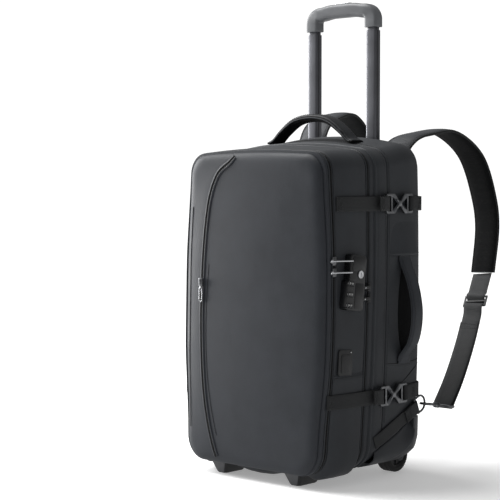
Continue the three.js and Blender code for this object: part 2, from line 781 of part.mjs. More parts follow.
function anchorPieces(side) {
  const label = side > 0 ? 'right' : 'left';
  const anchorLowDepth = caseDepth - anchorLowAhead;
  const low = besideCase(side, anchorLowDepth, anchorLowHeight, webThickness / 2 + gap);
  const high = besideCase(side, caseDepth - anchorHighAhead, anchorHighHeight, webThickness / 2 + 2 * gap);
  const bar = high.clone().add(V(side * anchorTurn, 0, 0));
  const along = V(0, high.y - low.y, high.z - low.z).normalize();
  const across = V(0, -along.z, along.y);
  const out = V(side, 0, 0);
  const local = (u, w) => bar.clone().addScaledVector(along, u).addScaledVector(out, w);
  const middle = low.clone().lerp(high, 0.5).setX(side * (sideX(anchorLowDepth, anchorLowHeight + 20) + 1.6));
  const path = [low, middle, ...turnRound(local, anchorTurn), local(-16, anchorTurn), local(-32, anchorTurn)];
  addPiece(`anchor_webbing_${label}`, cut(sweep(path, webSection(anchorWidth), across), fitted), web);

  const eyeMiddle = V(bar.x, caseDepth + hookEyeBehind, hookEyeHeight);
  const pull = eyeMiddle.clone().sub(bar);
  const reach = pull.clone().addScaledVector(across, -pull.dot(across)).normalize();
  const half = anchorWidth / 2 + ringWire / 2 + 2 * gap;
  const ringPlace = (u, v) => bar.clone().addScaledVector(reach, u).addScaledVector(across, v);
  const straight = ringInside - half + ringWire;
  const ringPoints = [
    ringPlace(0, -half), ringPlace(0, 0), ringPlace(0, half),
    ...arc(ringPlace, straight, 0, half, Math.PI / 2, -Math.PI / 2, 8),
  ];
  addPiece(`d_ring_${label}`, wireLoop(ringPoints, ringWire / 2), gunmetal);

  const swing = Math.atan2(pull.dot(across), pull.dot(reach) - straight);
  const hooked = ringPlace(straight + half * Math.cos(swing), half * Math.sin(swing));
  const toEye = eyeMiddle.clone().sub(hooked).normalize();
  const wide = V(1, 0, 0).addScaledVector(toEye, -toEye.x).normalize();
  const hookPlace = (u, v) => hooked.clone().addScaledVector(toEye, u).addScaledVector(wide, v * side);
  const r = (hookInside + hookWire) / 2;
  const near = r - (ringWire + hookWire) / 2 - 3 * gap;
  const far = near + hookLength - 2 * r;
  const body = [
    ...arc(hookPlace, near, 0, r, Math.PI / 2, Math.PI * 1.5, 6),
    ...arc(hookPlace, far, 0, r, -Math.PI / 2, Math.PI / 2, 6),
  ];
  const openRing = wireLoop(body, hookWire / 2, 6, false);
  const eyeAt = hooked.distanceTo(eyeMiddle);
  const e = shoulderWebWidth / 2 + hookWire;
  const eyeNear = eyeAt - eyeOpening - hookWire;
  const eyePoints = [
    hookPlace(eyeNear, 0), hookPlace(eyeNear, e - 3), hookPlace(eyeNear + 3, e), hookPlace(eyeAt - 3, e),
    hookPlace(eyeAt, e - 3), hookPlace(eyeAt, 3 - e), hookPlace(eyeAt - 3, -e), hookPlace(eyeNear + 3, -e),
    hookPlace(eyeNear, 3 - e),
  ];
  const eye = wireLoop(eyePoints, hookWire / 2);
  const stem = sweep([hookPlace(far + r, 0), hookPlace(eyeNear, 0)], circle(hookWire * 0.9, 8), wide);
  addPiece(`snap_hook_${label}`, join(openRing, stem, eye), gunmetal);
  const gateRadius = hookWire * 0.33;
  const gate = sweep(
    [hookPlace(near + 2 * gap, r), hookPlace(far - 2 * gap, r)], circle(gateRadius, 8), wide,
  );
  addPiece(`hook_gate_${label}`, gate, gunmetal);
  return { eyeMiddle, hookPlace, eyeAt };
}

// Shoulder straps: the pad's centre line. Columns are shares of strapSpread across and of strapReach behind
// the back; heights are shares of the rise from the root to the arch or of the drop below it.
const STRAP = [
  { across: 0, back: 0.028, part: 'root', share: 0 },
  { across: 0.02, back: 0.035, part: 'root', share: 0.35 },
  { across: 0.1, back: 0.13, part: 'root', share: 0.72 },
  { across: 0.22, back: 0.32, part: 'root', share: 0.93 },
  { across: 0.37, back: 0.58, part: 'root', share: 1 },
  { across: 0.59, back: 0.875, part: 'drop', share: 0.16 },
  { across: 0.84, back: 0.99, part: 'drop', share: 0.47 },
  { across: 0.94, back: 1, part: 'drop', share: 0.67 },
  { across: 1, back: 0.92, part: 'drop', share: 1 },
];
// Webbing below the pad: shares of the way from the pad's end to the hook
const WEBBING = [
  { across: 0.2, forward: 0.13, down: 0.127 },
  { across: 0.4, forward: 0.26, down: 0.26 },
  { across: 0.8, forward: 0.5, down: 0.52 },
  { across: 1, forward: 0.78, down: 0.805 },
];

function shoulderStrap(side, arch, anchor) {
  const label = side > 0 ? 'right' : 'left';
  const points = STRAP.map(({ across, back, part, share }) => {
    const z = part === 'root' ? lerp(strapRoot, arch, share) : lerp(arch, padEnd, share);
    return V(side * (strapRootX + strapSpread * across), caseDepth + strapReach * back, z);
  });
  const padPath = smooth(points, 22);
  const padSection = (t) => rounded(lerp(padWidth, padEndWidth, t), padStrapThickness, 3, 1);
  addPiece(`shoulder_pad_${label}`, sweep(padPath, padSection, V(1, 0, 0)), mesh3d);

  const end = padPath[padPath.length - 1];
  const eye = anchor.eyeMiddle;
  const line = smooth([
    end.clone().add(V(0, -1.2, -2.2)),
    ...WEBBING.map(({ across: a, forward, down: d }) => (
      V(lerp(end.x, eye.x, a), lerp(end.y, eye.y, forward), lerp(end.z, eye.z, d)))),
    eye,
  ], 20);
  const turn = hookWire / 2 + webClearance / 2 + webThickness / 2;
  const steps = line.map((p, i) => {
    const next = line[Math.min(i + 1, line.length - 1)];
    const last = line[Math.max(i - 1, 0)];
    const tangent = next.clone().sub(last).normalize();
    const out = tangent.clone().cross(V(1, 0, 0)).normalize();
    return { p, out: out.y > 0 ? out : out.negate(), tangent };
  });
  const sliderRow = Math.round(steps.length * sliderShare);
  const { p: middle, out: face, tangent: down } = steps[sliderRow];
  const pitch = (steps[sliderRow + 1].p.distanceTo(steps[sliderRow - 1].p)) / 2;
  const outer = steps.slice(0, -1).map(({ p, out }, i) => {
    const step = i - sliderRow;
    if (Math.abs(step) <= 1) {
      return middle.clone().addScaledVector(down, step * pitch)
        .addScaledVector(face, step === 0 ? sliderWave : -sliderWave);
    }
    return p.clone().addScaledVector(out, step > 0 ? turn * step / (line.length - sliderRow) : 0);
  });
  const { p: at, out, tangent } = steps[steps.length - 1];
  const round = turnRound((u, v) => at.clone().addScaledVector(tangent, u).addScaledVector(out, -v), turn);
  const inner = steps.slice(sliderRow + 3, -1).reverse().map(({ p, out: o }, i, all) => {
    const t = i / (all.length - 1);
    return p.clone().addScaledVector(o, -lerp(turn * 0.9, webThickness, t));
  });
  const path = [...outer, ...round, ...inner];
  addPiece(`shoulder_webbing_${label}`, sweep(path, webSection(shoulderWebWidth), V(1, 0, 0)), web);

  const halfSlider = shoulderWebWidth / 2 + sliderBar + webClearance;
  const slot = (from) => [
    [sliderBar - halfSlider, from + sliderBar / 2], [halfSlider - sliderBar, from + sliderBar / 2],
    [halfSlider - sliderBar, from + pitch - sliderBar / 2], [sliderBar - halfSlider, from + pitch - sliderBar / 2],
  ];
  const reachUp = pitch + sliderBar / 2;
  const frame = [[-halfSlider, -reachUp], [halfSlider, -reachUp], [halfSlider, reachUp], [-halfSlider, reachUp]];
  const across = down.clone().cross(face).normalize();
  const slider = plate(frame, sliderBar, [slot(-pitch), slot(0)]).translate(0, 0, -sliderBar / 2)
    .applyMatrix4(new THREE.Matrix4().makeBasis(across, down, across.clone().cross(down)).setPosition(middle));
  addPiece(`strap_slider_${label}`, slider, blackPlastic);
}

const sliderWave = sliderBar * Math.SQRT1_2 + webThickness / 2 + webClearance;

for (const side of [1, -1]) {
  const anchor = anchorPieces(side);
  shoulderStrap(side, side > 0 ? rightArch : leftArch, anchor);
}

// Wheel guards, base frame, wheels and feet
const arcAtY = caseDepth - guardArcAhead;
const arcAtZ = guardTop - guardArcDrop;
const bandOuter = [guardArcAhead + guardReach, arcAtZ - underside + guardStand];
const bandInner = [guardArcDepth, guardArcHeight];

function guardBand(x0, x1) {
  const curve = ([ry, rz], flip) => {
    const points = Array.from({ length: 9 }, (_, i) => {
      const angle = -Math.PI / 2 + (i / 8) * Math.PI / 2;
      return [arcAtY + ry * Math.cos(angle), arcAtZ + rz * Math.sin(angle)];
    });
    return flip ? points.reverse() : points;
  };
  const outer = curve(bandOuter, false);
  const inner = curve(bandInner, true);
  const bottom = underside - guardStand;
  const points = [
    [caseDepth - guardLength, bottom], ...outer, [arcAtY + bandOuter[0], guardTop],
    [arcAtY + bandInner[0], guardTop], ...inner, [caseDepth - guardLength, underside + guardReach],
  ];
  return plate(points, x1 - x0).applyMatrix4(toSide).translate(x0, 0, 0);
}

const guardShell = caseBody(guardStand, false);
const guardBlank = (x0, x1) => cut(common(guardBand(x0, x1), guardShell), fitted);

function wheelGuard(side) {
  const label = side > 0 ? 'right' : 'left';
  const halfWell = wheelWidth / 2 + 1.5;
  const well = rod(wheelRadius + wellClearance, 2 * halfWell, 20, wheelX, wheelAt, wheelRadius);
  const axle = rod(axleRadius, halfWell * 2 + 4, 10, wheelX, wheelAt, wheelRadius);
  const bossLength = wheelX - halfWell - guardInner;
  const bosses = [-1, 1].map((end) => (
    rod(9, bossLength, 10, wheelX + end * (halfWell + bossLength / 2), wheelAt, wheelRadius)));
  const guard = join(cut(guardBlank(guardInner, halfWidth + 2 * guardStand), well), axle, ...bosses);
  if (side < 0) guard.scale(-1, 1, 1);
  addPiece(`wheel_guard_${label}`, guard, guardPlastic);

  const r = wheelRadius;
  const w = wheelWidth / 2;
  const bore = axleRadius + gap;
  const profile = [
    [bore, -w + 2], [r * 0.66, -w + 2], [r * 0.74, -w], [r * 0.92, -w], [r, -w * 0.7],
    [r, w * 0.7], [r * 0.92, w], [r * 0.74, w], [r * 0.66, w - 2], [bore, w - 2], [bore, -w + 2],
  ].map(([x, y]) => new THREE.Vector2(x, y));
  const wheel = new THREE.LatheGeometry(profile, 16).rotateZ(Math.PI / 2)
    .translate(side * wheelX, wheelAt, wheelRadius);
  addPiece(`wheel_${label}`, wheel, tyre);

  const foot = loft([
    { z: underside * 2.2, wide: footTopWidth, long: footLength },
    { z: underside, wide: footTopWidth, long: footLength },
    { z: 2, wide: footBottomWidth + 3, long: footLength - 12 },
    { z: 0, wide: footBottomWidth, long: footLength - 16 },
  ].map(({ z, wide, long }) => rounded(wide, long, 4, 1)
    .map(([u, v]) => V(side * footX + u, footAt + footLength / 2 + v, z))));
  addPiece(`foot_${label}`, cut(foot, fitted), guardPlastic);
}

function baseFrame() {
  const room = caseBody(-2 * wall);
  const skin = tubeClearance + tubeWall;
  const guides = [1, -1].flatMap((s) => [
    common(tubePath(guideFloor + guideSeat, underside + caseHeight, s, skin), room),
    tubePath(guideFloor - guideSeat, guideFloor + 2 * guideSeat, s, skin),
  ]);
  const holes = [1, -1].map((s) => tubePath(guideFloor, gripHeight, s, tubeClearance));
  const span = 2 * (guardInner - gap);
  return cut(join(guardBlank(-span / 2, span / 2), ...guides), ...holes);
}

wheelGuard(1);
wheelGuard(-1);
addPiece('base_frame', baseFrame(), blackPlastic);

// Telescopic handle
function tube(width, depth, corner, bottom, top, side) {
  const shape = rounded(width, depth, corner, 2);
  const hole = rounded(width - 2 * tubeWall, depth - 2 * tubeWall, corner - tubeWall, 2).reverse();
  return plate(shape, top - bottom, [hole]).translate(side * tubeSpacing / 2, tubeAt, bottom);
}

const nested = 2 * (tubeWall + tubeClearance);
const innerTop = sleeveBottom - gap;
for (const side of [1, -1]) {
  const label = side > 0 ? 'right' : 'left';
  const mid = tube(tubeWidth, tubeDepth, tubeCorner, midTubeTop - midTubeLength, midTubeTop, side);
  addPiece(`mid_tube_${label}`, mid, tubeMetal);
  const inner = tube(tubeWidth - nested, tubeDepth - nested, tubeCorner - nested / 2,
    innerTop - innerTubeLength, innerTop, side);
  addPiece(`inner_tube_${label}`, inner, tubeMetal);
}

const gripLine = gripHeight - gripThickness / 2;
const bendRadius = gripBend - gripThickness / 2;
const halfSpacing = tubeSpacing / 2;
const gripHalf = [
  V(halfSpacing, tubeAt, sleeveBottom),
  ...arc((u, v) => V(u, tubeAt, v), halfSpacing - bendRadius, gripLine - bendRadius - 3, bendRadius,
    0, Math.PI / 2, 5),
  V(halfSpacing * 0.35, tubeAt, gripLine),
];
const gripPath = [...gripHalf, ...gripHalf.slice().reverse().map((p) => V(-p.x, p.y, p.z))];
const gripSection = (t) => {
  const middle = THREE.MathUtils.smoothstep(Math.min(t, 1 - t), 0.05, 0.35);
  return rounded(lerp(sleeveDepth, gripDepth, middle), lerp(sleeveWidth, gripThickness, middle),
    lerp(5, 8, middle), 2);
};
const gripBar = sweep(gripPath, gripSection, V(0, 1, 0));
const buttonHeight = 6;
const buttonTop = gripHeight + buttonStand;
const buttonShape = (extra, height, bottom) => plate(
  rounded(buttonLength + 2 * extra, buttonWidth + 2 * extra, buttonWidth / 2 + extra - 0.1, 3), height,
).translate(0, tubeAt, bottom);
const pocketFloor = buttonTop - buttonHeight - buttonTravel - 2 * gap;
addPiece('grip', cut(gripBar, buttonShape(2 * gap, gripThickness, pocketFloor)), gripPlastic);
addPiece('grip_button', buttonShape(0, buttonHeight, buttonTop - buttonHeight), silver);

// Lock, zip pulls and cable port on the right side
const lockBase = sideX(lockAt, lockCentre);
const lockShift = leanAt(lockAt, lockCentre);
const lockTurn = THREE.MathUtils.degToRad(-lockTilt);

// Place from the lock's own axes: u towards the back, v up, w out from the side
function onLock(geometry, u = 0, v = 0, w = 0) {
  return geometry.translate(u, v, w).applyMatrix4(toSide).rotateX(lockTurn)
    .translate(lockBase, lockAt - lockShift, lockCentre);
}

const DIALS = Array.from({ length: dialCount }, (_, i) => -2 - i * dialPitch);
const dialU = -lockWidth / 2 + 8;
const dialW = lockThickness - dialDepth;
const keyPlace = { u: lockWidth / 2 - 2 * keyRadius - 1, v: 2 * keyRadius + 1 };

// Heights of the zip pulls are shares of the lock's height above or below its middle
const PULLS = [
  { name: 'front_zip_pull_upper', at: frontZipAt + zipWidth / 2, up: 0.4, towards: 1 },
  { name: 'front_zip_pull_lower', at: frontZipAt + zipWidth / 2, up: 0.195, towards: 1 },
  { name: 'main_zip_pull_upper', at: mainZipAt + zipWidth / 2, up: -0.1, towards: -1 },
  { name: 'main_zip_pull_lower', at: mainZipAt + zipWidth / 2, up: -0.305, towards: -1 },
];
const pullZ = ({ up }) => lockCentre + lockHeight * up;
const pullStand = 4.6;
const pullReach = 4; // length of the pull inside the lock

function pullEnd(row) {
  const edge = lockAt - row.towards * lockWidth / 2 - Math.sin(lockTurn) * (pullZ(row) - lockCentre);
  return edge + row.towards * pullReach;
}

function pullTab(row, extra) {
  const tip = pullEnd(row);
  const length = Math.abs(tip - row.at) + 2 * extra;
  return block(pullThickness + 2 * extra, length, pullWidth + 2 * extra,
    lockBase + pullStand, (tip + row.at) / 2 - lockShift, pullZ(row));
}

function zipPull(row) {
  const slider = block(5, 8, 14, lockBase + 2.2, row.at - lockShift, pullZ(row));
  return cut(join(slider, pullTab(row, 0)), fitted);
}

for (const row of PULLS) {
  addPiece(row.name, zipPull(row), row.towards > 0 ? silver : blackPlastic);
}

const lockPlate = onLock(plate(rounded(lockWidth, lockHeight, 6, 3), lockThickness + 2), 0, 0, -2);
const slotDepth = dialRadius + dialDepth + 2 * gap + 2;
const dialSlots = DIALS.map((v) => onLock(
  block(2 * dialRadius + 4 * gap, dialWidth + 2 * gap, slotDepth), dialU, v, lockThickness + 2 - slotDepth / 2));
const keyHole = onLock(
  new THREE.CylinderGeometry(keyRadius + gap, keyRadius + gap, 8, 16).rotateX(Math.PI / 2),
  keyPlace.u, keyPlace.v, lockThickness);
const pullSlots = PULLS.map((row) => pullTab(row, gap));
addPiece('lock_body', cut(lockPlate, fitted, ...dialSlots, keyHole, ...pullSlots), blackPlastic);
DIALS.forEach((v, i) => {
  const dial = new THREE.CylinderGeometry(dialRadius, dialRadius, dialWidth, 10);
  addPiece(`lock_dial_${i + 1}`, onLock(dial, dialU, v, dialW), blackPlastic);
});
const keyPlug = new THREE.CylinderGeometry(keyRadius, keyRadius, 4, 16).rotateX(Math.PI / 2);
addPiece('key_plug', onLock(keyPlug, keyPlace.u, keyPlace.v, lockThickness - 1.6), silver);

const port = plate(rounded(portWidth, portHeight, 4, 2), portThickness + 2).translate(0, 0, -2)
  .applyMatrix4(toSide).rotateX(lockTurn / 2)
  .translate(sideX(portAt, portCentre), portAt - leanAt(portAt, portCentre), portCentre);
addPiece('cable_port', cut(port, fitted), blackPlastic);

// The model stands on the floor with the middle of its box over the origin
const box = new THREE.Box3().setFromObject(model);
const centre = box.getCenter(V(0, 0, 0));
model.position.set(-centre.x, -centre.y, 0);

export default model;
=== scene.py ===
"""Looks of a wheeled backpack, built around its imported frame.

Until a piece is finished its lengths are in millimetres in the case's own axes: x from the middle, y from the
front panel's face to the rear, z up.
"""

import math

import bmesh
import bpy
from mathutils import Matrix, Vector, noise


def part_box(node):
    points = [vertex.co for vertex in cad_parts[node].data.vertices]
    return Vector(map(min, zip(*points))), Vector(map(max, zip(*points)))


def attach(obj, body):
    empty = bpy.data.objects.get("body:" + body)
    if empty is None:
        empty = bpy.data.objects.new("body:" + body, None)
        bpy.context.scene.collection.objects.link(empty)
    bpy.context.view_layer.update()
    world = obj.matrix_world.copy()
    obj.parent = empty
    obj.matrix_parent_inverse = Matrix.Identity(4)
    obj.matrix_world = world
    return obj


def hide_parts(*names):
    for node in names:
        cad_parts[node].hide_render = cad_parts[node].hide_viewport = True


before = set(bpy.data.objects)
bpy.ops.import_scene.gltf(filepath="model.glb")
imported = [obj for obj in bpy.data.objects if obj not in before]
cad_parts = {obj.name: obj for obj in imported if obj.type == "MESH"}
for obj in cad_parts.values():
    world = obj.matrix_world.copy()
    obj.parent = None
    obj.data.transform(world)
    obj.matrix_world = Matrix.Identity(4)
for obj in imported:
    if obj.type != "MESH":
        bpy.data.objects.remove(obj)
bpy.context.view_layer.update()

MM = 0.001
FOOT_MIDDLE = 33
feet = [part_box("foot_right"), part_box("foot_left")]
ORIGIN = Vector((
    sum(lo.x + hi.x for lo, hi in feet) / 4,
    sum(lo.y + hi.y for lo, hi in feet) / 4 - FOOT_MIDDLE * MM,
    0,
))
X, Y, Z = Vector((1, 0, 0)), Vector((0, 1, 0)), Vector((0, 0, 1))
SIDES = ((1, "right"), (-1, "left"))

# Case
HALF_WIDTH = 150
CASE_HEIGHT = 505
CASE_DEPTH = 236
UNDERSIDE = 20
WALL = 2.6
GAP = 0.3
TOP_CORNER = 32
BOTTOM_CORNER = 38
TOP_CROWN = 12
SIDE_PILLOW = 3
FOOT_LEAN = 18
REAR_LIFT = 75
PANEL_BULGE = 6
FRONT_SEAM = 8
FRONT_ZIP = 14
ZIP_WIDTH = 7
MAIN_ZIP = 88
SEAM = 138
BASE_HEM = 168
# share of the depth: width, height, lean, lift, crown
PROFILE = (
    (0.0, 0.927, 0.944, 0.6, 0.0, 0.25),
    (0.06, 0.96, 0.953, 0.62, 0.0, 0.3),
    (0.38, 0.995, 0.968, 0.9, 0.0, 0.6),
    (0.585, 1.0, 0.984, 0.8, 0.1, 1.0),
    (0.74, 1.0, 0.995, 0.4, 0.33, 1.0),
    (0.82, 1.0, 1.0, 0.25, 0.52, 1.0),
    (0.9, 0.985, 0.998, 0.1, 0.66, 1.0),
    (0.96, 0.945, 0.985, 0.03, 0.85, 1.0),
    (1.0, 0.87, 0.958, 0.0, 1.0, 1.0),
)


def mix(a, b, t):
    return a + (b - a) * t


def clamp(value, low=0.0, high=1.0):
    return min(max(value, low), high)


def ease(value, start, end):
    t = clamp((value - start) / (end - start))
    return t * t * (3 - 2 * t)


def through(rows, column, x):
    """Smooth curve through one column of a table, without overshoot."""
    last = len(rows) - 1
    x = clamp(x, rows[0][0], rows[last][0])
    i = max(k for k in range(last) if rows[k][0] <= x)
    slopes = [(b[column] - a[column]) / (b[0] - a[0]) for a, b in zip(rows, rows[1:])]

    def tangent(k):
        if k in (0, last):
            return slopes[min(k, last - 1)]
        a, b = slopes[k - 1], slopes[k]
        return 0 if a * b <= 0 else 2 * a * b / (a + b)

    h = rows[i + 1][0] - rows[i][0]
    t = (x - rows[i][0]) / h
    return (
        (2 * t ** 3 - 3 * t ** 2 + 1) * rows[i][column] + (t ** 3 - 2 * t ** 2 + t) * h * tangent(i)
        + (3 * t ** 2 - 2 * t ** 3) * rows[i + 1][column] + (t ** 3 - t ** 2) * h * tangent(i + 1)
    )


def profile(y):
    return [through(PROFILE, column, y / CASE_DEPTH) for column in (1, 2, 3, 4, 5)]


def lean_at(y, z):
    h = clamp((z - UNDERSIDE) / CASE_HEIGHT)
    return FOOT_LEAN * profile(y)[2] * (1 - h) ** 2


# Tube exits lie between the third and the fifth of these distances from the middle of the top.
TOP_STEPS = (12, 24, 36, 48.9, 60, 71.1, 82, 92)
ARC_STEPS = 9
SIDE_STEPS = 18


def case_numbers(y, grow):
    width, height, _, lift, rise = profile(y)
    w = HALF_WIDTH * width + grow
    bottom = UNDERSIDE + REAR_LIFT * lift - grow
    top = UNDERSIDE + CASE_HEIGHT * height + grow
    r_top = max(TOP_CORNER + grow, 4)
    r_bottom = max(BOTTOM_CORNER + grow, 4)
    slope = math.atan(2 * TOP_CROWN * rise / (w - r_top))
    reach = w - r_top * (1 - math.sin(slope))
    crown = math.tan(slope) * reach / 2
    shoulder = top - crown - r_top * math.cos(slope)
    return w, bottom, top, r_top, r_bottom, slope, reach, crown, shoulder


def outline(y, grow=0.0, levels=None):
    """Cross-section of the case at a depth, as (x, z) pairs from the middle of the top round the right side."""
    w, bottom, top, r_top, r_bottom, slope, reach, crown, shoulder = case_numbers(y, grow)
    hip = bottom + r_bottom
    half = [(x, top - crown * (x / reach) ** 2) for x in TOP_STEPS]
    for i in range(ARC_STEPS + 1):
        angle = (1 - i / ARC_STEPS) * (math.pi / 2 - slope)
        half.append((w - r_top + r_top * math.cos(angle), shoulder + r_top * math.sin(angle)))
    for z in levels or [mix(shoulder, hip, (k + 1) / SIDE_STEPS) for k in range(SIDE_STEPS - 1)]:
        t = (shoulder - z) / (shoulder - hip)
        half.append((w + SIDE_PILLOW * 4 * t * (1 - t), z))
    for i in range(ARC_STEPS + 1):
        angle = -(i / ARC_STEPS) * math.pi / 2
        half.append((w - r_bottom + r_bottom * math.cos(angle), hip + r_bottom * math.sin(angle)))
    half += [((w - r_bottom) * share, bottom) for share in (0.8, 0.6, 0.4, 0.2)]
    return [(0, top), *half, (0, bottom), *[(-x, z) for x, z in reversed(half)]]


TOP_TAPER = 0.045
BOTTOM_TAPER = 0.055
DRAWN_DEPTH = 62


def narrowed(y, z):
    """The cloth of the front half is drawn in a little towards its upper and lower corners."""
    drawn = TOP_TAPER * ease(z, 320, 480) + BOTTOM_TAPER * ease(210 - z, 0, 150)
    return 1 - drawn * ease(DRAWN_DEPTH - y, 0, DRAWN_DEPTH)


def ring(y, grow=0.0, shift=0.0, levels=None):
    return [Vector((x * narrowed(y, z), y + shift - lean_at(y, z), z)) for x, z in outline(y, grow, levels)]


def side_x(y, z):
    return plain_side_x(y, z) * narrowed(y, z)


def plain_side_x(y, z):
    w, bottom, _, _, r_bottom, _, _, _, shoulder = case_numbers(y, 0)
    hip = bottom + r_bottom
    if z > shoulder:
        rise = z - shoulder
        return w - TOP_CORNER + math.sqrt(max(TOP_CORNER ** 2 - rise ** 2, 0))
    if z < hip:
        drop = hip - z
        return w - BOTTOM_CORNER + math.sqrt(max(BOTTOM_CORNER ** 2 - drop ** 2, 0))
    t = (shoulder - z) / (shoulder - hip)
    return w + SIDE_PILLOW * 4 * t * (1 - t)


def top_z(y, x):
    _, _, top, _, _, _, reach, crown, _ = case_numbers(y, 0)
    return top - crown * (x / reach) ** 2


def beside(side, y, z, stand):
    """Point beside the case: side is 1 for the right and -1 for the left."""
    return Vector((side * (side_x(y, z) + stand), y - lean_at(y, z), z))


FACE_HALF = CASE_HEIGHT * PROFILE[0][2] / 2
FACE_MIDDLE = UNDERSIDE + FACE_HALF
FACE_WIDTH = HALF_WIDTH * PROFILE[0][1]
# share of the case's height: place across, as a share of its half width
POCKET_ZIP = (
    (0.045, -0.46), (0.12, -0.54), (0.22, -0.61), (0.34, -0.65), (0.47, -0.665),
    (0.6, -0.65), (0.73, -0.61), (0.825, -0.545), (0.885, -0.44), (0.915, -0.30),
)
STRIP_FALL = 3.0


def face_y(x, z):
    """The front panel's face: swollen in the middle, and falling back beyond the pocket's zip."""
    u = x / FACE_WIDTH
    v = (z - FACE_MIDDLE) / FACE_HALF
    swell = max(1 - u * u, 0) * max(1 - v ** 4, 0)
    zip_x = HALF_WIDTH * through(POCKET_ZIP, 1, (z - UNDERSIDE) / CASE_HEIGHT)
    fall = STRIP_FALL * ease(zip_x - x, 0, 46)
    return -PANEL_BULGE * swell - lean_at(0, z) + fall * (1 - v ** 4 if abs(v) < 1 else 0)


def face_ring(inset, behind, grow=0.0):
    points = []
    for x, z in outline(0, grow):
        px = x * (1 - inset) * narrowed(0, z)
        pz = FACE_MIDDLE + (z - FACE_MIDDLE) * (1 - inset * HALF_WIDTH / FACE_HALF)
        points.append(Vector((px, face_y(px, pz) + FRONT_SEAM * behind - grow, pz)))
    return points


# Mesh tools


def loft(rings, wrap=True, loop=False, caps=False, paint=None):
    """Skin over rings of points. wrap closes each ring, loop joins the last to the first. UVs are in metres."""
    rows = len(rings) - (0 if loop else 1)
    columns = len(rings[0]) - (0 if wrap else 1)
    along, around = [0.0], [0.0]
    for i in range(rows):
        along.append(along[-1] + (rings[(i + 1) % len(rings)][0] - rings[i][0]).length * MM)
    middle = rings[len(rings) // 2]
    for j in range(columns):
        around.append(around[-1] + (middle[(j + 1) % len(middle)] - middle[j]).length * MM)
    bm = bmesh.new()
    uv = bm.loops.layers.uv.new("UVMap")
    bmesh.ops.create_grid(bm, x_segments=rows, y_segments=columns, size=0.5)
    place = {v: (round((v.co.x + 0.5) * rows), round((v.co.y + 0.5) * columns)) for v in bm.verts}
    for face in bm.faces:
        spots = [place[corner.vert] for corner in face.loops]
        for corner, (i, j) in zip(face.loops, spots):
            corner[uv].uv = (along[i], around[j])
        if paint:
            face.material_index = paint(min(i for i, _ in spots), min(j for _, j in spots))
    for v, (i, j) in place.items():
        v.co = rings[i % len(rings)][j % len(rings[0])]
    bmesh.ops.remove_doubles(bm, verts=bm.verts, dist=1e-4)
    if caps:
        bmesh.ops.holes_fill(bm, edges=[e for e in bm.edges if e.is_boundary])
    bmesh.ops.recalc_face_normals(bm, faces=bm.faces)
    return bm


def smooth(points, steps):
    """Points on a smooth curve through the given ones."""
    points = [Vector(p) for p in points]
    held = [2 * points[0] - points[1], *points, 2 * points[-1] - points[-2]]
    found = []
    for k in range(steps + 1):
        at = k / steps * (len(points) - 1)
        i = min(int(at), len(points) - 2)
        t = at - i
        a, b, c, d = held[i:i + 4]
        g0, g1, g2 = [max((q - p).length ** 0.5, 1e-4) for p, q in ((a, b), (b, c), (c, d))]
        leave = ((b - a) / g0 - (c - a) / (g0 + g1) + (c - b) / g1) * g1
        arrive = ((c - b) / g1 - (d - b) / (g1 + g2) + (d - c) / g2) * g1
        found.append(
            (2 * t ** 3 - 3 * t ** 2 + 1) * b + (t ** 3 - 2 * t ** 2 + t) * leave
            + (3 * t ** 2 - 2 * t ** 3) * c + (t ** 3 - t ** 2) * arrive)
    return found


def frames(points, across, looped=False):
    """Direction along, across and out at each point of a path."""
    count = len(points)
    found = []
    for i in range(count):
        before = points[(i - 1) % count if looped else max(i - 1, 0)]
        after = points[(i + 1) % count if looped else min(i + 1, count - 1)]
        along = (after - before).normalized()
        wide = across[i] if isinstance(across, list) else across
        wide = (wide - along * wide.dot(along)).normalized()
        found.append((along, wide, along.cross(wide).normalized()))
    return found


def sweep(points, section, across, looped=False, caps=True, paint=None):
    rings = []
    for i, (_, wide, out) in enumerate(frames(points, across, looped)):
        shape = section(i / (len(points) - 1)) if callable(section) else section
        rings.append([points[i] + wide * u + out * v for u, v in shape])
    return loft(rings, loop=looped, caps=caps and not looped, paint=paint)


def rounded(across, out, round_, steps=4):
    """Corners of a rectangle, rounded, from its right side anticlockwise."""
    points = []
    for q in range(4):
        sx = 1 if q in (0, 3) else -1
        sy = 1 if q < 2 else -1
        for s in range(steps + 1):
            angle = (q + s / steps) * math.pi / 2
            points.append((
                sx * (across / 2 - round_) + round_ * math.cos(angle),
                sy * (out / 2 - round_) + round_ * math.sin(angle),
            ))
    return points


def circle(radius, sides=12):
    turns = [i / sides * math.tau for i in range(sides)]
    return [(radius * math.cos(turn), radius * math.sin(turn)) for turn in turns]


def pillow(across, out, power=2.6, sides=24):
    """Flattened oval section."""
    points = []
    for i in range(sides):
        c, s = math.cos(i / sides * math.tau), math.sin(i / sides * math.tau)
        points.append((
            math.copysign(abs(c) ** (2 / power), c) * across / 2,
            math.copysign(abs(s) ** (2 / power), s) * out / 2,
        ))
    return points


def plate(edge, thickness):
    """Flat outline in its own plane, raised to a thickness."""
    bm = bmesh.new()
    face = bm.faces.new([bm.verts.new((u, v, 0)) for u, v in edge])
    raised = bmesh.ops.extrude_face_region(bm, geom=[face])["geom"]
    risen = [g for g in raised if isinstance(g, bmesh.types.BMVert)]
    bmesh.ops.translate(bm, verts=risen, vec=(0, 0, thickness))
    bmesh.ops.recalc_face_normals(bm, faces=bm.faces)
    return bm


def bevelled(bm, width, segments=2, angle=30):
    """Rounds the edges that are sharper than an angle."""
    limit = math.radians(angle)
    sharp = [e for e in bm.edges if e.is_manifold and e.calc_face_angle() > limit]
    bmesh.ops.bevel(
        bm, geom=sharp, offset=width, offset_type="OFFSET", segments=segments, profile=0.5, affect="EDGES",
        clamp_overlap=True, material=-1)
    return bm


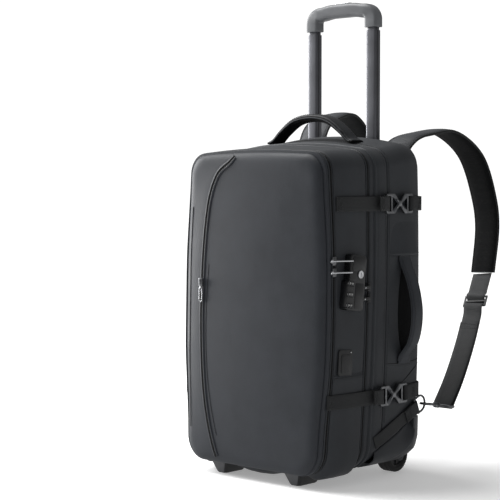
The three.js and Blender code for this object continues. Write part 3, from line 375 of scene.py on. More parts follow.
def block(width, depth, height, place=(0, 0, 0), bevel=0.0):
    bm = bmesh.new()
    size = Matrix.Diagonal((width, depth, height, 1))
    bmesh.ops.create_cube(bm, size=1, matrix=Matrix.Translation(Vector(place)) @ size)
    return bevelled(bm, bevel) if bevel else bm


def turned(profile_points, steps=64):
    """Ring turned about the x axis from (x, radius) pairs that close on themselves."""
    bm = bmesh.new()
    verts = [bm.verts.new((x, 0, r)) for x, r in profile_points]
    edges = [bm.edges.new((a, b)) for a, b in zip(verts, verts[1:] + verts[:1])]
    bmesh.ops.spin(
        bm, geom=verts + edges, cent=(0, 0, 0), axis=(1, 0, 0), angle=math.tau, steps=steps, use_merge=True)
    bmesh.ops.remove_doubles(bm, verts=bm.verts, dist=1e-4)
    bmesh.ops.recalc_face_normals(bm, faces=bm.faces)
    return bm


def joined(*parts):
    """Several bmeshes in one, each with its material number."""
    bm = bmesh.new()
    for number, part in parts:
        for face in part.faces:
            face.material_index = number
        mesh = bpy.data.meshes.new("part")
        part.to_mesh(mesh)
        part.free()
        bm.from_mesh(mesh)
        bpy.data.meshes.remove(mesh)
    return bm


def moved(bm, matrix):
    bmesh.ops.transform(bm, matrix=matrix, verts=bm.verts)
    if matrix.determinant() < 0:
        bmesh.ops.reverse_faces(bm, faces=bm.faces)
    return bm


def basis(a, b, c, origin=(0, 0, 0)):
    matrix = Matrix((a, b, c)).transposed().to_4x4()
    matrix.translation = Vector(origin)
    return matrix


def carved(bm, *cutters):
    """A bmesh with others cut out of it."""
    def hidden(part, name):
        mesh = bpy.data.meshes.new(name)
        part.to_mesh(mesh)
        part.free()
        thing = bpy.data.objects.new(name, mesh)
        bpy.context.scene.collection.objects.link(thing)
        return thing

    base = hidden(bm, "carved_base")
    tools = [hidden(cutter, "carved_tool") for cutter in cutters]
    for tool in tools:
        step = base.modifiers.new("cut", "BOOLEAN")
        step.operation = "DIFFERENCE"
        step.solver = "EXACT"
        step.object = tool
    bpy.context.view_layer.update()
    result = bpy.data.meshes.new_from_object(base.evaluated_get(bpy.context.evaluated_depsgraph_get()))
    out = bmesh.new()
    out.from_mesh(result)
    bpy.data.meshes.remove(result)
    for thing in [base, *tools]:
        mesh = thing.data
        bpy.data.objects.remove(thing)
        bpy.data.meshes.remove(mesh)
    return out


def finish(name, bm, materials, stands_for=(), body="bag", wall=0.0, levels=0, angle=40, in_place=False):
    """Makes a piece of a bmesh: puts it in the row's frame, gives it its materials and ties it to its body."""
    if not in_place:
        bmesh.ops.scale(bm, vec=(MM, MM, MM), verts=bm.verts)
        bmesh.ops.translate(bm, vec=ORIGIN, verts=bm.verts)
    mesh = bpy.data.meshes.new(name)
    bm.to_mesh(mesh)
    bm.free()
    for material_ in materials:
        mesh.materials.append(material_)
    mesh.shade_smooth()
    mesh.set_sharp_from_angle(angle=math.radians(angle))
    piece = bpy.data.objects.new(name, mesh)
    bpy.context.scene.collection.objects.link(piece)
    if wall:
        solidify = piece.modifiers.new("wall", "SOLIDIFY")
        solidify.thickness = wall * MM
        solidify.offset = -1
        solidify.use_even_offset = True
    if levels:
        surface = piece.modifiers.new("smooth", "SUBSURF")
        surface.levels = levels
        surface.render_levels = levels
    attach(piece, body)
    if stands_for:
        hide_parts(*([stands_for] if isinstance(stands_for, str) else stands_for))
    return piece


def refined(node_name, name, materials, body="bag", bevel=0.4, paint=None, extra=()):
    """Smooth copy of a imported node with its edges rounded, and parts added to it."""
    bm = bmesh.new()
    bm.from_mesh(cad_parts[node_name].data)
    bmesh.ops.remove_doubles(bm, verts=bm.verts, dist=1e-6)
    bmesh.ops.dissolve_limit(bm, angle_limit=math.radians(2), verts=bm.verts, edges=bm.edges)
    bmesh.ops.translate(bm, vec=-ORIGIN, verts=bm.verts)
    bmesh.ops.scale(bm, vec=(1 / MM, 1 / MM, 1 / MM), verts=bm.verts)
    bevelled(bm, bevel, segments=3)
    for face in bm.faces:
        face.material_index = paint(face) if paint else 0
    if extra:
        painted = bmesh.new()
        mesh = bpy.data.meshes.new("part")
        bm.to_mesh(mesh)
        bm.free()
        painted.from_mesh(mesh)
        bpy.data.meshes.remove(mesh)
        added = joined(*extra)
        mesh = bpy.data.meshes.new("part")
        added.to_mesh(mesh)
        added.free()
        painted.from_mesh(mesh)
        bpy.data.meshes.remove(mesh)
        bm = painted
    return finish(name, bm, materials, node_name, body)


# Shader tools


def shade(tree, kind, inputs=None, **settings):
    made = tree.nodes.new(kind)
    for key, value in settings.items():
        setattr(made, key, value)
    for key, value in (inputs or {}).items():
        if isinstance(value, bpy.types.NodeSocket):
            tree.links.new(value, made.inputs[key])
        else:
            made.inputs[key].default_value = value
    return made


def toned(tree, share, dark, light):
    """Colour between two others."""
    made = shade(tree, "ShaderNodeMix", {0: share, 6: dark, 7: light}, data_type="RGBA")
    return made.outputs[2]


def ranged(tree, value, low, high, start=0.0, end=1.0):
    return shade(tree, "ShaderNodeMapRange", {
        "Value": value, "From Min": start, "From Max": end, "To Min": low, "To Max": high}).outputs["Result"]


def maths(tree, operation, a, b):
    return shade(tree, "ShaderNodeMath", {0: a, 1: b}, operation=operation).outputs[0]


def shader_group(name, inputs, outputs):
    tree = bpy.data.node_groups.new(name, "ShaderNodeTree")
    for label, value in inputs.items():
        tree.interface.new_socket(label, in_out="INPUT", socket_type="NodeSocketFloat").default_value = value
    for label in outputs:
        tree.interface.new_socket(label, in_out="OUTPUT", socket_type="NodeSocketFloat")
    return tree, tree.nodes.new("NodeGroupInput").outputs, tree.nodes.new("NodeGroupOutput").inputs


def grain_group():
    """Pebble grain of coated cloth or moulded plastic, and slow mottling."""
    tree, given, result = shader_group("pebble_grain", {"Scale": 900.0}, ("Height", "Mottle"))
    place = shade(tree, "ShaderNodeTexCoord").outputs["Object"]
    cells = shade(tree, "ShaderNodeTexVoronoi", {"Vector": place, "Scale": given["Scale"]}, feature="SMOOTH_F1")
    fine = shade(tree, "ShaderNodeTexNoise", {"Vector": place, "Scale": given["Scale"], "Detail": 4.0})
    mottle = shade(tree, "ShaderNodeTexNoise", {
        "Vector": place, "Scale": 22.0, "Detail": 6.0, "Roughness": 0.62})
    tree.links.new(maths(tree, "ADD", cells.outputs["Distance"], fine.outputs["Fac"]), result["Height"])
    tree.links.new(mottle.outputs["Fac"], result["Mottle"])
    return tree


def weave_group():
    """Threads that follow a strap: ribs along it, crossed by the weft."""
    tree, given, result = shader_group("strap_weave", {"Ribs": 160.0, "Weft": 150.0}, ("Height", "Mottle"))
    place = shade(tree, "ShaderNodeUVMap", uv_map="UVMap").outputs["UV"]
    ribs = shade(tree, "ShaderNodeTexWave", {"Vector": place, "Scale": given["Ribs"], "Distortion": 0.3},
                 bands_direction="Y")
    weft = shade(tree, "ShaderNodeTexWave", {"Vector": place, "Scale": given["Weft"], "Distortion": 0.5},
                 bands_direction="X")
    spots = shade(tree, "ShaderNodeTexNoise", {"Vector": place, "Scale": 260.0, "Detail": 3.0})
    tree.links.new(maths(tree, "MULTIPLY", ribs.outputs["Fac"], weft.outputs["Fac"]), result["Height"])
    tree.links.new(spots.outputs["Fac"], result["Mottle"])
    return tree


def mesh_group():
    """Open three-dimensional mesh: rows of small round holes."""
    tree, given, result = shader_group("spacer_mesh", {"Scale": 420.0}, ("Height", "Mottle"))
    place = shade(tree, "ShaderNodeTexCoord").outputs["Object"]
    cells = shade(tree, "ShaderNodeTexVoronoi", {"Vector": place, "Scale": given["Scale"], "Randomness": 0.12})
    holes = ranged(tree, cells.outputs["Distance"], 0.0, 1.0, 0.22, 0.42)
    tree.links.new(holes, result["Height"])
    tree.links.new(holes, result["Mottle"])
    return tree


def wear_group():
    """Rubbed edges, broken up by noise."""
    tree, given, result = shader_group("edge_wear", {"Reach": 0.56}, ("Mask",))
    place = shade(tree, "ShaderNodeTexCoord").outputs["Object"]
    edge = shade(tree, "ShaderNodeNewGeometry").outputs["Pointiness"]
    rub = shade(tree, "ShaderNodeTexNoise", {"Vector": place, "Scale": 180.0, "Detail": 5.0})
    mask = shade(tree, "ShaderNodeMapRange", {
        "Value": edge, "From Min": 0.51, "From Max": given["Reach"], "To Min": 0.0, "To Max": 1.0}).outputs["Result"]
    tree.links.new(maths(tree, "MULTIPLY", mask, rub.outputs["Fac"]), result["Mask"])
    return tree


def dust_group():
    """Thin dust on what faces up."""
    tree, given, result = shader_group("thin_dust", {"Amount": 0.2}, ("Mask",))
    place = shade(tree, "ShaderNodeTexCoord").outputs["Object"]
    facing = shade(tree, "ShaderNodeNewGeometry").outputs["Normal"]
    up = shade(tree, "ShaderNodeSeparateXYZ", {0: facing}).outputs["Z"]
    cloud = shade(tree, "ShaderNodeTexNoise", {"Vector": place, "Scale": 60.0, "Detail": 8.0, "Roughness": 0.7})
    settled = maths(tree, "MULTIPLY", ranged(tree, up, 0.0, 1.0, 0.2, 1.0), cloud.outputs["Fac"])
    tree.links.new(maths(tree, "MULTIPLY", settled, given["Amount"]), result["Mask"])
    return tree


def crease_group():
    """Soft slack waves of cloth, longer up and down than across."""
    tree, given, result = shader_group("slack_waves", {"Scale": 9.0}, ("Height",))
    place = shade(tree, "ShaderNodeMapping", {
        "Vector": shade(tree, "ShaderNodeTexCoord").outputs["Object"], "Scale": (1.0, 1.0, 0.35)}).outputs[0]
    waves = shade(tree, "ShaderNodeTexNoise", {
        "Vector": place, "Scale": given["Scale"], "Detail": 3.0, "Roughness": 0.45, "Distortion": 0.4})
    tree.links.new(waves.outputs["Fac"], result["Height"])
    return tree


GRAIN = grain_group()
WEAVE = weave_group()
SPACER = mesh_group()
WEAR = wear_group()
DUST = dust_group()
CREASE = crease_group()


def colour(code):
    """Linear colour of a six-digit one."""
    parts = [int(code[i:i + 2], 16) / 255 for i in (0, 2, 4)]
    return (*[c / 12.92 if c <= 0.04045 else ((c + 0.055) / 1.055) ** 2.4 for c in parts], 1.0)


def material(name, dark, light, rough, group=GRAIN, scale=None, depth=0.1, spread=0.06, metal=0.0, worn=None,
             dust=0.0, slack=0.0, **fixed):
    """Finish with two tones, a surface pattern from a shared group, worn edges and dust."""
    made = bpy.data.materials.new(name)
    made.use_nodes = True
    tree = made.node_tree
    shader = tree.nodes["Principled BSDF"]
    pattern = shade(tree, "ShaderNodeGroup", node_tree=group)
    for label, value in (scale or {}).items():
        pattern.inputs[label].default_value = value
    mottle = pattern.outputs["Mottle"]
    tone = toned(tree, ranged(tree, mottle, 0.0, 1.0, 0.25, 0.75), colour(dark), colour(light))
    roughness = ranged(tree, mottle, rough - spread, rough + spread, 0.25, 0.75)
    if worn:
        mask = shade(tree, "ShaderNodeGroup", node_tree=WEAR).outputs["Mask"]
        tone = toned(tree, mask, tone, colour(worn))
    if dust:
        settled = shade(tree, "ShaderNodeGroup", {"Amount": dust}, node_tree=DUST).outputs["Mask"]
        tone = toned(tree, settled, tone, colour("8f8f8d"))
        roughness = maths(tree, "ADD", roughness, settled)
    bump = shade(tree, "ShaderNodeBump", {
        "Height": pattern.outputs["Height"], "Strength": 1.0, "Distance": depth * MM})
    if slack:
        waves = shade(tree, "ShaderNodeGroup", node_tree=CREASE).outputs["Height"]
        bump = shade(tree, "ShaderNodeBump", {
            "Height": waves, "Strength": 1.0, "Distance": slack * MM, "Normal": bump.outputs["Normal"]})
    tree.links.new(tone, shader.inputs["Base Color"])
    tree.links.new(roughness, shader.inputs["Roughness"])
    tree.links.new(bump.outputs["Normal"], shader.inputs["Normal"])
    shader.inputs["Metallic"].default_value = metal
    for label, value in fixed.items():
        shader.inputs[label.replace("_", " ").title().replace("Ior", "IOR")].default_value = value
    return made


coated_cloth = material("coated_cloth", "2c2f34", "35383e", 0.5, scale={"Scale": 1000.0}, depth=0.10, slack=0.8,
                        specular_ior_level=0.3, dust=0.12)
coated_edge = material("coated_edge", "303337", "393c40", 0.5, scale={"Scale": 1000.0}, depth=0.08,
                       specular_ior_level=0.3)
side_cloth = material("side_cloth", "2e3034", "373a3e", 0.54, scale={"Scale": 1000.0}, depth=0.10, slack=0.9,
                      specular_ior_level=0.3, dust=0.1)
# painted shade: the dark of the grooves along sewn seams
seam_groove_shade = material("seam_groove_shade", "0c0d0e", "141516", 0.8, scale={"Scale": 1200.0}, depth=0.12)
webbing = material("ribbed_webbing", "191a1c", "232527", 0.72, WEAVE, depth=0.28, sheen_weight=0.06)
binding = material("woven_binding", "111213", "1a1b1c", 0.75, WEAVE, {"Ribs": 300.0, "Weft": 320.0}, depth=0.15)
thread = material("sewing_thread", "1c1e20", "2a2c2e", 0.6, scale={"Scale": 2400.0}, depth=0.05,
                  sheen_weight=0.2)
zip_black = material("zip_coil", "08090a", "121314", 0.42, WEAVE, {"Ribs": 90.0, "Weft": 240.0}, depth=0.4)
spacer = material("spacer_mesh_cloth", "050506", "101112", 0.9, SPACER, depth=0.5, specular_ior_level=0.2)
handle_cloth = material("handle_cloth", "1e1f22", "292b2e", 0.55, scale={"Scale": 1000.0}, depth=0.10,
                        specular_ior_level=0.3)
lock_black = material("lock_moulding", "111214", "191a1c", 0.3, scale={"Scale": 1400.0}, depth=0.04)
foot_grey = material("foot_moulding", "4b4c4f", "57585b", 0.5, scale={"Scale": 1300.0}, depth=0.08, dust=0.15)
gunmetal = material("gunmetal_cast", "34363a", "45474b", 0.36, scale={"Scale": 1500.0}, depth=0.02, metal=0.9,
                    worn="9a9b9d", dust=0.08)
tube_metal = material("satin_tube", "66676b", "737479", 0.36, scale={"Scale": 2600.0}, depth=0.012, metal=0.92,
                      spread=0.04)
# painted shade: the dark of a groove in the tube's side faces
groove_shade = material("tube_groove_shade", "101112", "1a1b1d", 0.5, scale={"Scale": 2000.0}, depth=0.03)
grip_grey = material("satin_grip", "646669", "727477", 0.4, scale={"Scale": 1800.0}, depth=0.03,
                     spread=0.05, dust=0.08)
guard_grey = material("grey_moulding", "2e3033", "3a3c3f", 0.55, scale={"Scale": 1300.0}, depth=0.08, worn="4c4d50",
                      specular_ior_level=0.3, dust=0.15)
moulded_black = material("black_moulding", "121315", "1b1c1e", 0.46, scale={"Scale": 1400.0}, depth=0.06,
                         dust=0.15)
silver = material("silver_plating", "c4c6c9", "dcdde0", 0.24, scale={"Scale": 1600.0}, depth=0.01, metal=1.0,
                  spread=0.08)
white_ink = material("white_ink", "d8d8d6", "eeeeec", 0.55, scale={"Scale": 1800.0}, depth=0.02)
tyre_rubber = material("tyre_rubber", "141415", "222222", 0.78, scale={"Scale": 900.0}, depth=0.15, dust=0.35)

# Case shells


def shaken(points, amount, pitch, seed):
    """Uneven cloth: moves points sideways by slow noise."""
    found = []
    for p in points:
        away = Vector((p.x / HALF_WIDTH, 0, (p.z - FACE_MIDDLE) / FACE_HALF)).normalized()
        spot = Vector((p.x, p.y * 1.5, p.z * 0.6)) / pitch + Vector((seed, 0, 0))
        found.append(p + away * amount * noise.noise(spot))
    return found


# inset from the seam: depth behind the face, as a share of FRONT_SEAM
FACE_EDGE = (
    (0.0, 0.86), (0.006, 0.66), (0.014, 0.49), (0.026, 0.33), (0.042, 0.2), (0.06, 0.11), (0.085, 0.045),
    (0.12, 0.012), (0.17, 0.0), (0.22, 0.0), (0.27, 0.0), (0.32, 0.0), (0.37, 0.0), (0.42, 0.0), (0.5, 0.0),
    (0.6, 0.0), (0.7, 0.0), (0.82, 0.0), (0.94, 0.0),
)
rings = [face_ring(inset, behind) for inset, behind in reversed(FACE_EDGE)]
rings.append(face_ring(0.004, 1.02))
rings += [ring(FRONT_SEAM + 1.0, 0.5), ring(FRONT_SEAM + 2.6, 0.4), ring(12.4, 0.1), ring(13.2, -0.4)]
rings.append(ring(FRONT_ZIP - GAP, -1.6))
panel = loft(rings)
bmesh.ops.holes_fill(panel, edges=[
    e for e in panel.edges if e.is_boundary and all(v.co.y < 0 for v in e.verts)])
bmesh.ops.recalc_face_normals(panel, faces=panel.faces)
finish("front_panel_cloth", panel, [coated_cloth], "front_panel", wall=WALL)


def zip_band(name, node_name, start):
    """Zip let in between two lips, its coil at the bottom of the slit."""
    rows = (
        (0.0, -1.4, 0), (0.5, -0.2, 0), (1.1, 0.25, 0), (1.9, 0.15, 0), (2.35, -0.9, 1), (2.5, -2.2, 1),
        (3.1, -1.7, 1),
        (3.5, -2.3, 1), (3.9, -1.7, 1), (4.5, -2.2, 1), (4.65, -0.9, 1), (5.1, 0.15, 0), (5.9, 0.25, 0),
        (6.5, -0.2, 0),
        (7.0, -1.4, 0),
    )
    marks = [mark for _, _, mark in rows]
    band = loft([ring(start + at, rise) for at, rise, _ in rows],
                paint=lambda i, j: 1 if marks[i] or marks[i + 1] else 0)
    return finish(name, band, [coated_edge, zip_black], node_name, wall=1.4)


zip_band("front_zip_band", "front_zipper", FRONT_ZIP)
zip_band("main_zip_band", "main_zipper", MAIN_ZIP)

# Lid gusset: a base panel is sewn over its lower part, and sags between the feet
GUSSET_LEVELS = (
    430, 400, 370, 340, 310, 280, 250, 225, 205, 190, 179,
    172, 169.4, 168.6, 167.4, 166, 160, 148, 130, 110, 90, 72,
)
BELLY_WIDTH = 54
BELLY_DROP = 13
CORNER_DROP = 8


def gusset_ring(y, rise):
    points = []
    for x, z in outline(y, rise, GUSSET_LEVELS):
        base = ease(BASE_HEM - z, 0, 1.2)
        hem = 0.8 * base - 1.0 * math.exp(-((z - BASE_HEM - 0.4) / 0.9) ** 2)
        px = (x + math.copysign(hem, x) if abs(x) > HALF_WIDTH * 0.6 else x) * narrowed(y, z)
        belly = BELLY_DROP * clamp(1 - (x / BELLY_WIDTH) ** 2) ** 0.6 * clamp(1 - ((y - 44) / 24) ** 2) ** 0.5
        corner = CORNER_DROP * ease(abs(x), 92, 108) * ease(64 - z, 0, 40) * ease(y, 22, 34)
        pz = z - (belly if z < UNDERSIDE + 3 else 0) - corner
        points.append(Vector((px, y - lean_at(y, z), pz)))
    return points


gusset_rows = (
    (21.3, -1.6), (22.0, -0.4), (23.0, 0.1), (25, 0.3), (29, 0.4), (34, 0.4), (39, 0.4), (44, 0.4),
    (49, 0.4), (54, 0.4),
    (59, 0.4), (64, 0.4), (69, 0.3), (75, 0.3), (81, 0.3), (84.5, 0.2), (86, 0.0), (87, -0.5), (87.7, -1.6),
)
finish("lid_gusset_cloth", loft([shaken(gusset_ring(y, rise), 0.7, 60, 3) for y, rise in gusset_rows]),
       [side_cloth], "lid_gusset", wall=WALL)

band_rows = (
    (95.3, -1.6), (96.0, -0.3), (97.2, 0.2), (100, 0.4), (103.5, 0.2), (105.6, -0.5), (106.6, -0.2),
    (107.0, 1.0),
    (107.8, 2.0), (109.0, 2.4), (110.2, 2.0), (111.0, 1.0), (111.4, -0.2), (112.4, -0.5), (115, 0.3),
    (120, 0.6),
    (126, 0.6), (132, 0.4), (135.6, 0.2), (136.8, -0.4), (137.7, -1.6),
)
finish("expansion_band_cloth",
       loft([shaken(ring(y, rise), 0.5, 40, 7) for y, rise in band_rows],
            paint=lambda i, j: 1 if 5 <= i <= 12 else 0),
       [side_cloth, coated_edge], "expansion_band", wall=WALL)

# Main case: closed behind, with an opening in the top around each tube
TUBE_FRONT = 210.8
TUBE_BACK = 227.2
case_rows = (
    (138.3, -1.6), (139.1, -0.4), (140.4, 0.1), (144, 0.3), (152, 0.3), (160, 0.3), (168, 0.3), (176, 0.2),
    (184, 0.2),
    (192, 0.2), (200, 0.1), (206, 0), (TUBE_FRONT, 0), (215, 0), (221, 0), (TUBE_BACK, 0), (231, 0), (234, 0), (236, 0),
)
rings = []
for y, rise in case_rows:
    row = ring(y, rise)
    rings.append(shaken(row, 0.9 if y > SEAM + 3 else 0.3, 70, 11) if y < 205 else row)
rear = rings[-1]
rear_middle = Vector((0, 0, sum(p.z for p in rear) / len(rear)))
for scale in (0.985, 0.9, 0.55):
    rings.append([
        Vector((p.x * scale, CASE_DEPTH, rear_middle.z + (p.z - rear_middle.z) * scale)) for p in rear])
first = next(i for i, row in enumerate(case_rows) if row[0] == TUBE_FRONT)
last = next(i for i, row in enumerate(case_rows) if row[0] == TUBE_BACK)
left = TOP_STEPS.index(48.9) + 1
right = TOP_STEPS.index(71.1) + 1
count = len(rear)
holes = {(i, j) for i in range(first, last) for k in range(left, right) for j in (k, count - 1 - k)}
body = loft(rings, paint=lambda i, j: 9 if (i, j) in holes else 0)
bmesh.ops.holes_fill(body, edges=[
    e for e in body.edges if e.is_boundary and all(v.co.y > 200 for v in e.verts)])
bmesh.ops.delete(body, geom=[f for f in body.faces if f.material_index == 9], context="FACES")
bmesh.ops.recalc_face_normals(body, faces=body.faces)
finish("main_case_cloth", body, [side_cloth], "main_case", wall=WALL)

# Cloth between the rising underside and the curve of each wheel guard
WELL_FROM, WELL_TO = 126, 209
ANCHOR_FOOT = 121
ANCHOR_SLOPE = 0.478
GUARD_CURVE_AT, GUARD_CURVE_UP = 160, 78
GUARD_CURVE_LONG, GUARD_CURVE_HIGH = 50, 54
for side, label in SIDES:
    rows = []
    for i in range(25):
        y = mix(WELL_FROM, WELL_TO, i / 24)
        high = 43 + (y - ANCHOR_FOOT) * ANCHOR_SLOPE
        along = clamp((y - GUARD_CURVE_AT) / GUARD_CURVE_LONG)
        low = GUARD_CURVE_UP - GUARD_CURVE_HIGH * math.sqrt(1 - along ** 2)
        row = []
        for j in range(11):
            z = mix(high, low, j / 10)
            drop = clamp(UNDERSIDE + BOTTOM_CORNER - z, 0, BOTTOM_CORNER)
            edge = HALF_WIDTH - BOTTOM_CORNER + math.sqrt(BOTTOM_CORNER ** 2 - drop ** 2) + 2.6
            x = mix(side_x(y, high) + 0.2, edge, ease(j, 0, 10))
            row.append(Vector((side * x, y - lean_at(y, z), z)))
        rows.append(row)
    finish(f"wheel_well_cloth_{label}", loft(rows, wrap=False), [side_cloth], "main_case", wall=1.2)

# Flap over the upper end of the side handle. Columns: share of its width, share of its stand
FLAP_HEM = 341
FLAP_HEIGHT = 56
FLAP_FROM = 142
FLAP_TO = 218
FLAP_STAND = 10.6
FLAP = ((0.0, 0.0), (0.08, 0.3), (0.25, 0.75), (0.5, 1.0), (0.8, 0.85), (0.94, 0.4), (1.0, 0.0))
rings = []
for i in range(13):
    t = i / 12
    row = []
    for j in range(25):
        share = j / 24
        stand = FLAP_STAND * through(FLAP, 1, share) * (1 - t) ** 1.1
        hem = 0.4 * math.exp(-((i - 0.8) / 0.7) ** 2) * (stand > 1)
        row.append(beside(1, mix(FLAP_FROM, FLAP_TO, share), FLAP_HEM + FLAP_HEIGHT * t, stand - 0.5 + hem))
    rings.append(row)
finish("handle_flap_cloth", loft(rings, wrap=False), [side_cloth], "main_case", wall=1.6)

# Back pad with sewn channels
PAD_INSET = 16
PAD_THICK = 12
PAD_FOOT = UNDERSIDE + REAR_LIFT
pad_outline = [(x, PAD_FOOT + (z - PAD_FOOT) * 0.94) for x, z in outline(CASE_DEPTH, -PAD_INSET)]
half_pad = pad_outline[:len(pad_outline) // 2 + 1]
pad_top = half_pad[0][1]
pad_bottom = half_pad[-1][1]


def pad_half_width(z):
    for (xa, za), (xb, zb) in zip(half_pad, half_pad[1:]):
        if za >= z >= zb and za > zb:
            return mix(xa, xb, (za - z) / (za - zb))
    return half_pad[-2][0]


rings = []
PAD_ROWS, PAD_COLUMNS = 110, 72
CHANNEL_AT = 30
CHANNEL_WIDE = 3.4
CHANNEL_LEVELS = (190, 270, 350, 425)
for i in range(PAD_ROWS + 1):
    z = mix(pad_top - 0.4, pad_bottom + 0.4, i / PAD_ROWS)
    reach = pad_half_width(z)
    row = []
    for j in range(PAD_COLUMNS + 1):
        x = mix(-reach, reach, j / PAD_COLUMNS)
        edge = min(reach - abs(x), pad_top - z, z - pad_bottom)
        swell = 1 - math.exp(-max(edge, 0) / 7)
        channel = 0.5 * math.exp(-((abs(x) - CHANNEL_AT) / CHANNEL_WIDE) ** 2)
        for level in CHANNEL_LEVELS:
            crossing = 0.5 * math.exp(-((z - level) / CHANNEL_WIDE) ** 2) * ease(abs(x), CHANNEL_AT, 34)
            channel = max(channel, crossing)
        row.append(Vector((x, CASE_DEPTH + GAP + 1 + (PAD_THICK - 1) * swell * (1 - channel), z)))
    rings.append(row)
pad = loft(rings, wrap=False)
rim = bmesh.ops.extrude_edge_only(pad, edges=[e for e in pad.edges if e.is_boundary])["geom"]
for v in (g for g in rim if isinstance(g, bmesh.types.BMVert)):
    v.co.y = CASE_DEPTH + GAP
bmesh.ops.holes_fill(pad, edges=[e for e in pad.edges if e.is_boundary])
bmesh.ops.recalc_face_normals(pad, faces=pad.faces)
finish("back_pad_mesh", pad, [spacer], "back_panel", angle=60)
border = [Vector((x * 0.995, CASE_DEPTH + 2.0, z)) for x, z in pad_outline]
finish("back_pad_binding", sweep(border, circle(1.7, 8), Y, looped=True), [binding], "back_panel")

# Stitches


def stitches(name, path, outs, pitch=4.0, length=2.9, radius=0.42, threads=thread, rows=(0.0,), body_name="bag"):
    """Rows of short stitches along a path; outs are the directions away from the cloth."""
    bm = bmesh.new()
    for offset in rows:
        walked = 0.0
        for a, b, out in zip(path, path[1:], outs):
            along = (b - a)
            span = along.length
            if span < 1e-6:
                continue
            along = along / span
            wide = along.cross(out).normalized()
            lift = wide.cross(along).normalized()
            while walked < span:
                place = a + along * walked + wide * offset + lift * radius * 0.3
                bmesh.ops.create_uvsphere(
                    bm, u_segments=6, v_segments=4, radius=1,
                    matrix=basis(wide * radius, lift * radius, along * length / 2, place))
                walked += pitch
            walked -= span
    return finish(name, bm, [threads], body=body_name)


def beside_line(points, stand, steps, side=1):
    """Path over the case's side through (y, z) pairs, and its outward directions."""
    flat = smooth([Vector((0, y, z)) for y, z in points], steps)
    path = [beside(side, p.y, p.z, stand) for p in flat]
    return path, [Vector((side, 0, 0))] * len(path)


def seam_cord(name, path, radius=0.55, material_=seam_groove_shade):
    """Dark cord along a sewn seam, half sunk in the cloth: painted shade of the seam's groove."""
    across = X if abs((path[-1] - path[0]).normalized().x) < 0.7 else Z
    return finish(name, sweep(path, circle(radius, 6), across), [material_])


path = []
for y in [mix(FLAP_FROM + 6, FLAP_TO - 4, k / 24) for k in range(25)]:
    stand = FLAP_STAND * through(FLAP, 1, (y - FLAP_FROM) / (FLAP_TO - FLAP_FROM)) * 0.93
    path.append(beside(1, y, FLAP_HEM + 3.2, stand))
stitches("flap_hem_stitches", path, [X] * len(path), rows=(0.0, 4.2))
for side, label in SIDES:
    path, outs = beside_line([(24, BASE_HEM - 2.8), (85, BASE_HEM - 2.8)], 1.4, 14, side)
    stitches(f"base_hem_stitches_{label}", path, outs)
    # dark cord along the rear pocket seam: painted shade of its groove
    path, outs = beside_line([(142, 178), (172, 176), (205, 177), (222, 179)], 0.35, 20, side)
    seam_cord(f"rear_pocket_seam_{label}", path)
    path, outs = beside_line([(142, 174.5), (172, 172.5), (205, 173.5), (222, 175.5)], 0.4, 20, side)
    stitches(f"rear_pocket_stitches_{label}", path, outs)
    # dark cord along the rear corner seam: painted shade of its groove
    path, outs = beside_line([(160, 138), (185, 150), (206, 163), (224, 172)], 0.35, 20, side)
    seam_cord(f"rear_corner_seam_{label}", path)


def ring_stitches(name, y, rise, from_z=75):
    """Stitches round the top and sides of the case, above a height."""
    points = ring(y, rise)
    count = len(points)
    start = next(i for i in range(count // 2, count) if points[i].z > from_z)
    order = [points[(start + k) % count] for k in range(count)]
    order = order[:next(i for i, p in enumerate(order) if i > 10 and p.z < from_z and p.x > 0)]
    middle = Vector((0, y, FACE_MIDDLE))
    outs = [Vector((p.x - middle.x, 0, (p.z - middle.z) * 0.6)).normalized() for p in order]
    return stitches(name, order, outs)


ring_stitches("seam_stitches_case", SEAM + 4.4, 0.45)
ring_stitches("seam_stitches_band", SEAM - 5.4, 0.35)

# Front pocket: zip between welts, slider and pull tab
pocket_points = [
    Vector((HALF_WIDTH * across, 0, UNDERSIDE + CASE_HEIGHT * up)) for up, across in reversed(POCKET_ZIP)]
ZIP_TOP_RUN = Vector((9, 0, 9))
ZIP_FOOT_RUN = Vector((5, 0, -13))
pocket_points = [pocket_points[0] + ZIP_TOP_RUN, *pocket_points, pocket_points[-1] + ZIP_FOOT_RUN]
pocket_flat = smooth(pocket_points, 84)


def on_face(x, z, stand):
    """Point on the front panel, which rounds off towards its seam above and below."""
    up = abs(z - FACE_MIDDLE) / abs((top_z(0, x) if z > FACE_MIDDLE else UNDERSIDE) - FACE_MIDDLE)
    behind = through(FACE_EDGE, 1, max(1 - up, 0) * FACE_HALF / HALF_WIDTH)
    return Vector((x, face_y(x, z) + FRONT_SEAM * behind - stand, z))


pocket_line = [on_face(p.x, p.z, 0.1) for p in pocket_flat]
WELT = (
    (-5.4, -0.5, 0), (-4.6, 0.5, 0), (-3.4, 1.1, 0), (-2.2, 1.2, 0), (-1.55, 0.8, 1), (-1.3, 0.1, 1),
    (-0.7, 0.45, 1),
    (0.0, 0.1, 1), (0.7, 0.45, 1), (1.3, 0.1, 1), (1.55, 0.8, 1), (2.2, 1.2, 0), (3.4, 1.1, 0), (4.6, 0.5, 0),
    (5.4, -0.5, 0),
)
strip = []
for p, (_, wide, _) in zip(pocket_flat, frames(pocket_line, X)):
    row = []
    for u, v, _ in WELT:
        spot = Vector((p.x, 0, p.z)) + wide * u
        row.append(on_face(spot.x, spot.z, v + 0.3))
    strip.append(row)
marks = [mark for _, _, mark in WELT]
finish("pocket_zip_welt", loft(strip, wrap=False, paint=lambda i, j: 1 if marks[j] or marks[j + 1] else 0),
       [coated_cloth, zip_black], "pocket_zipper", wall=0.8)
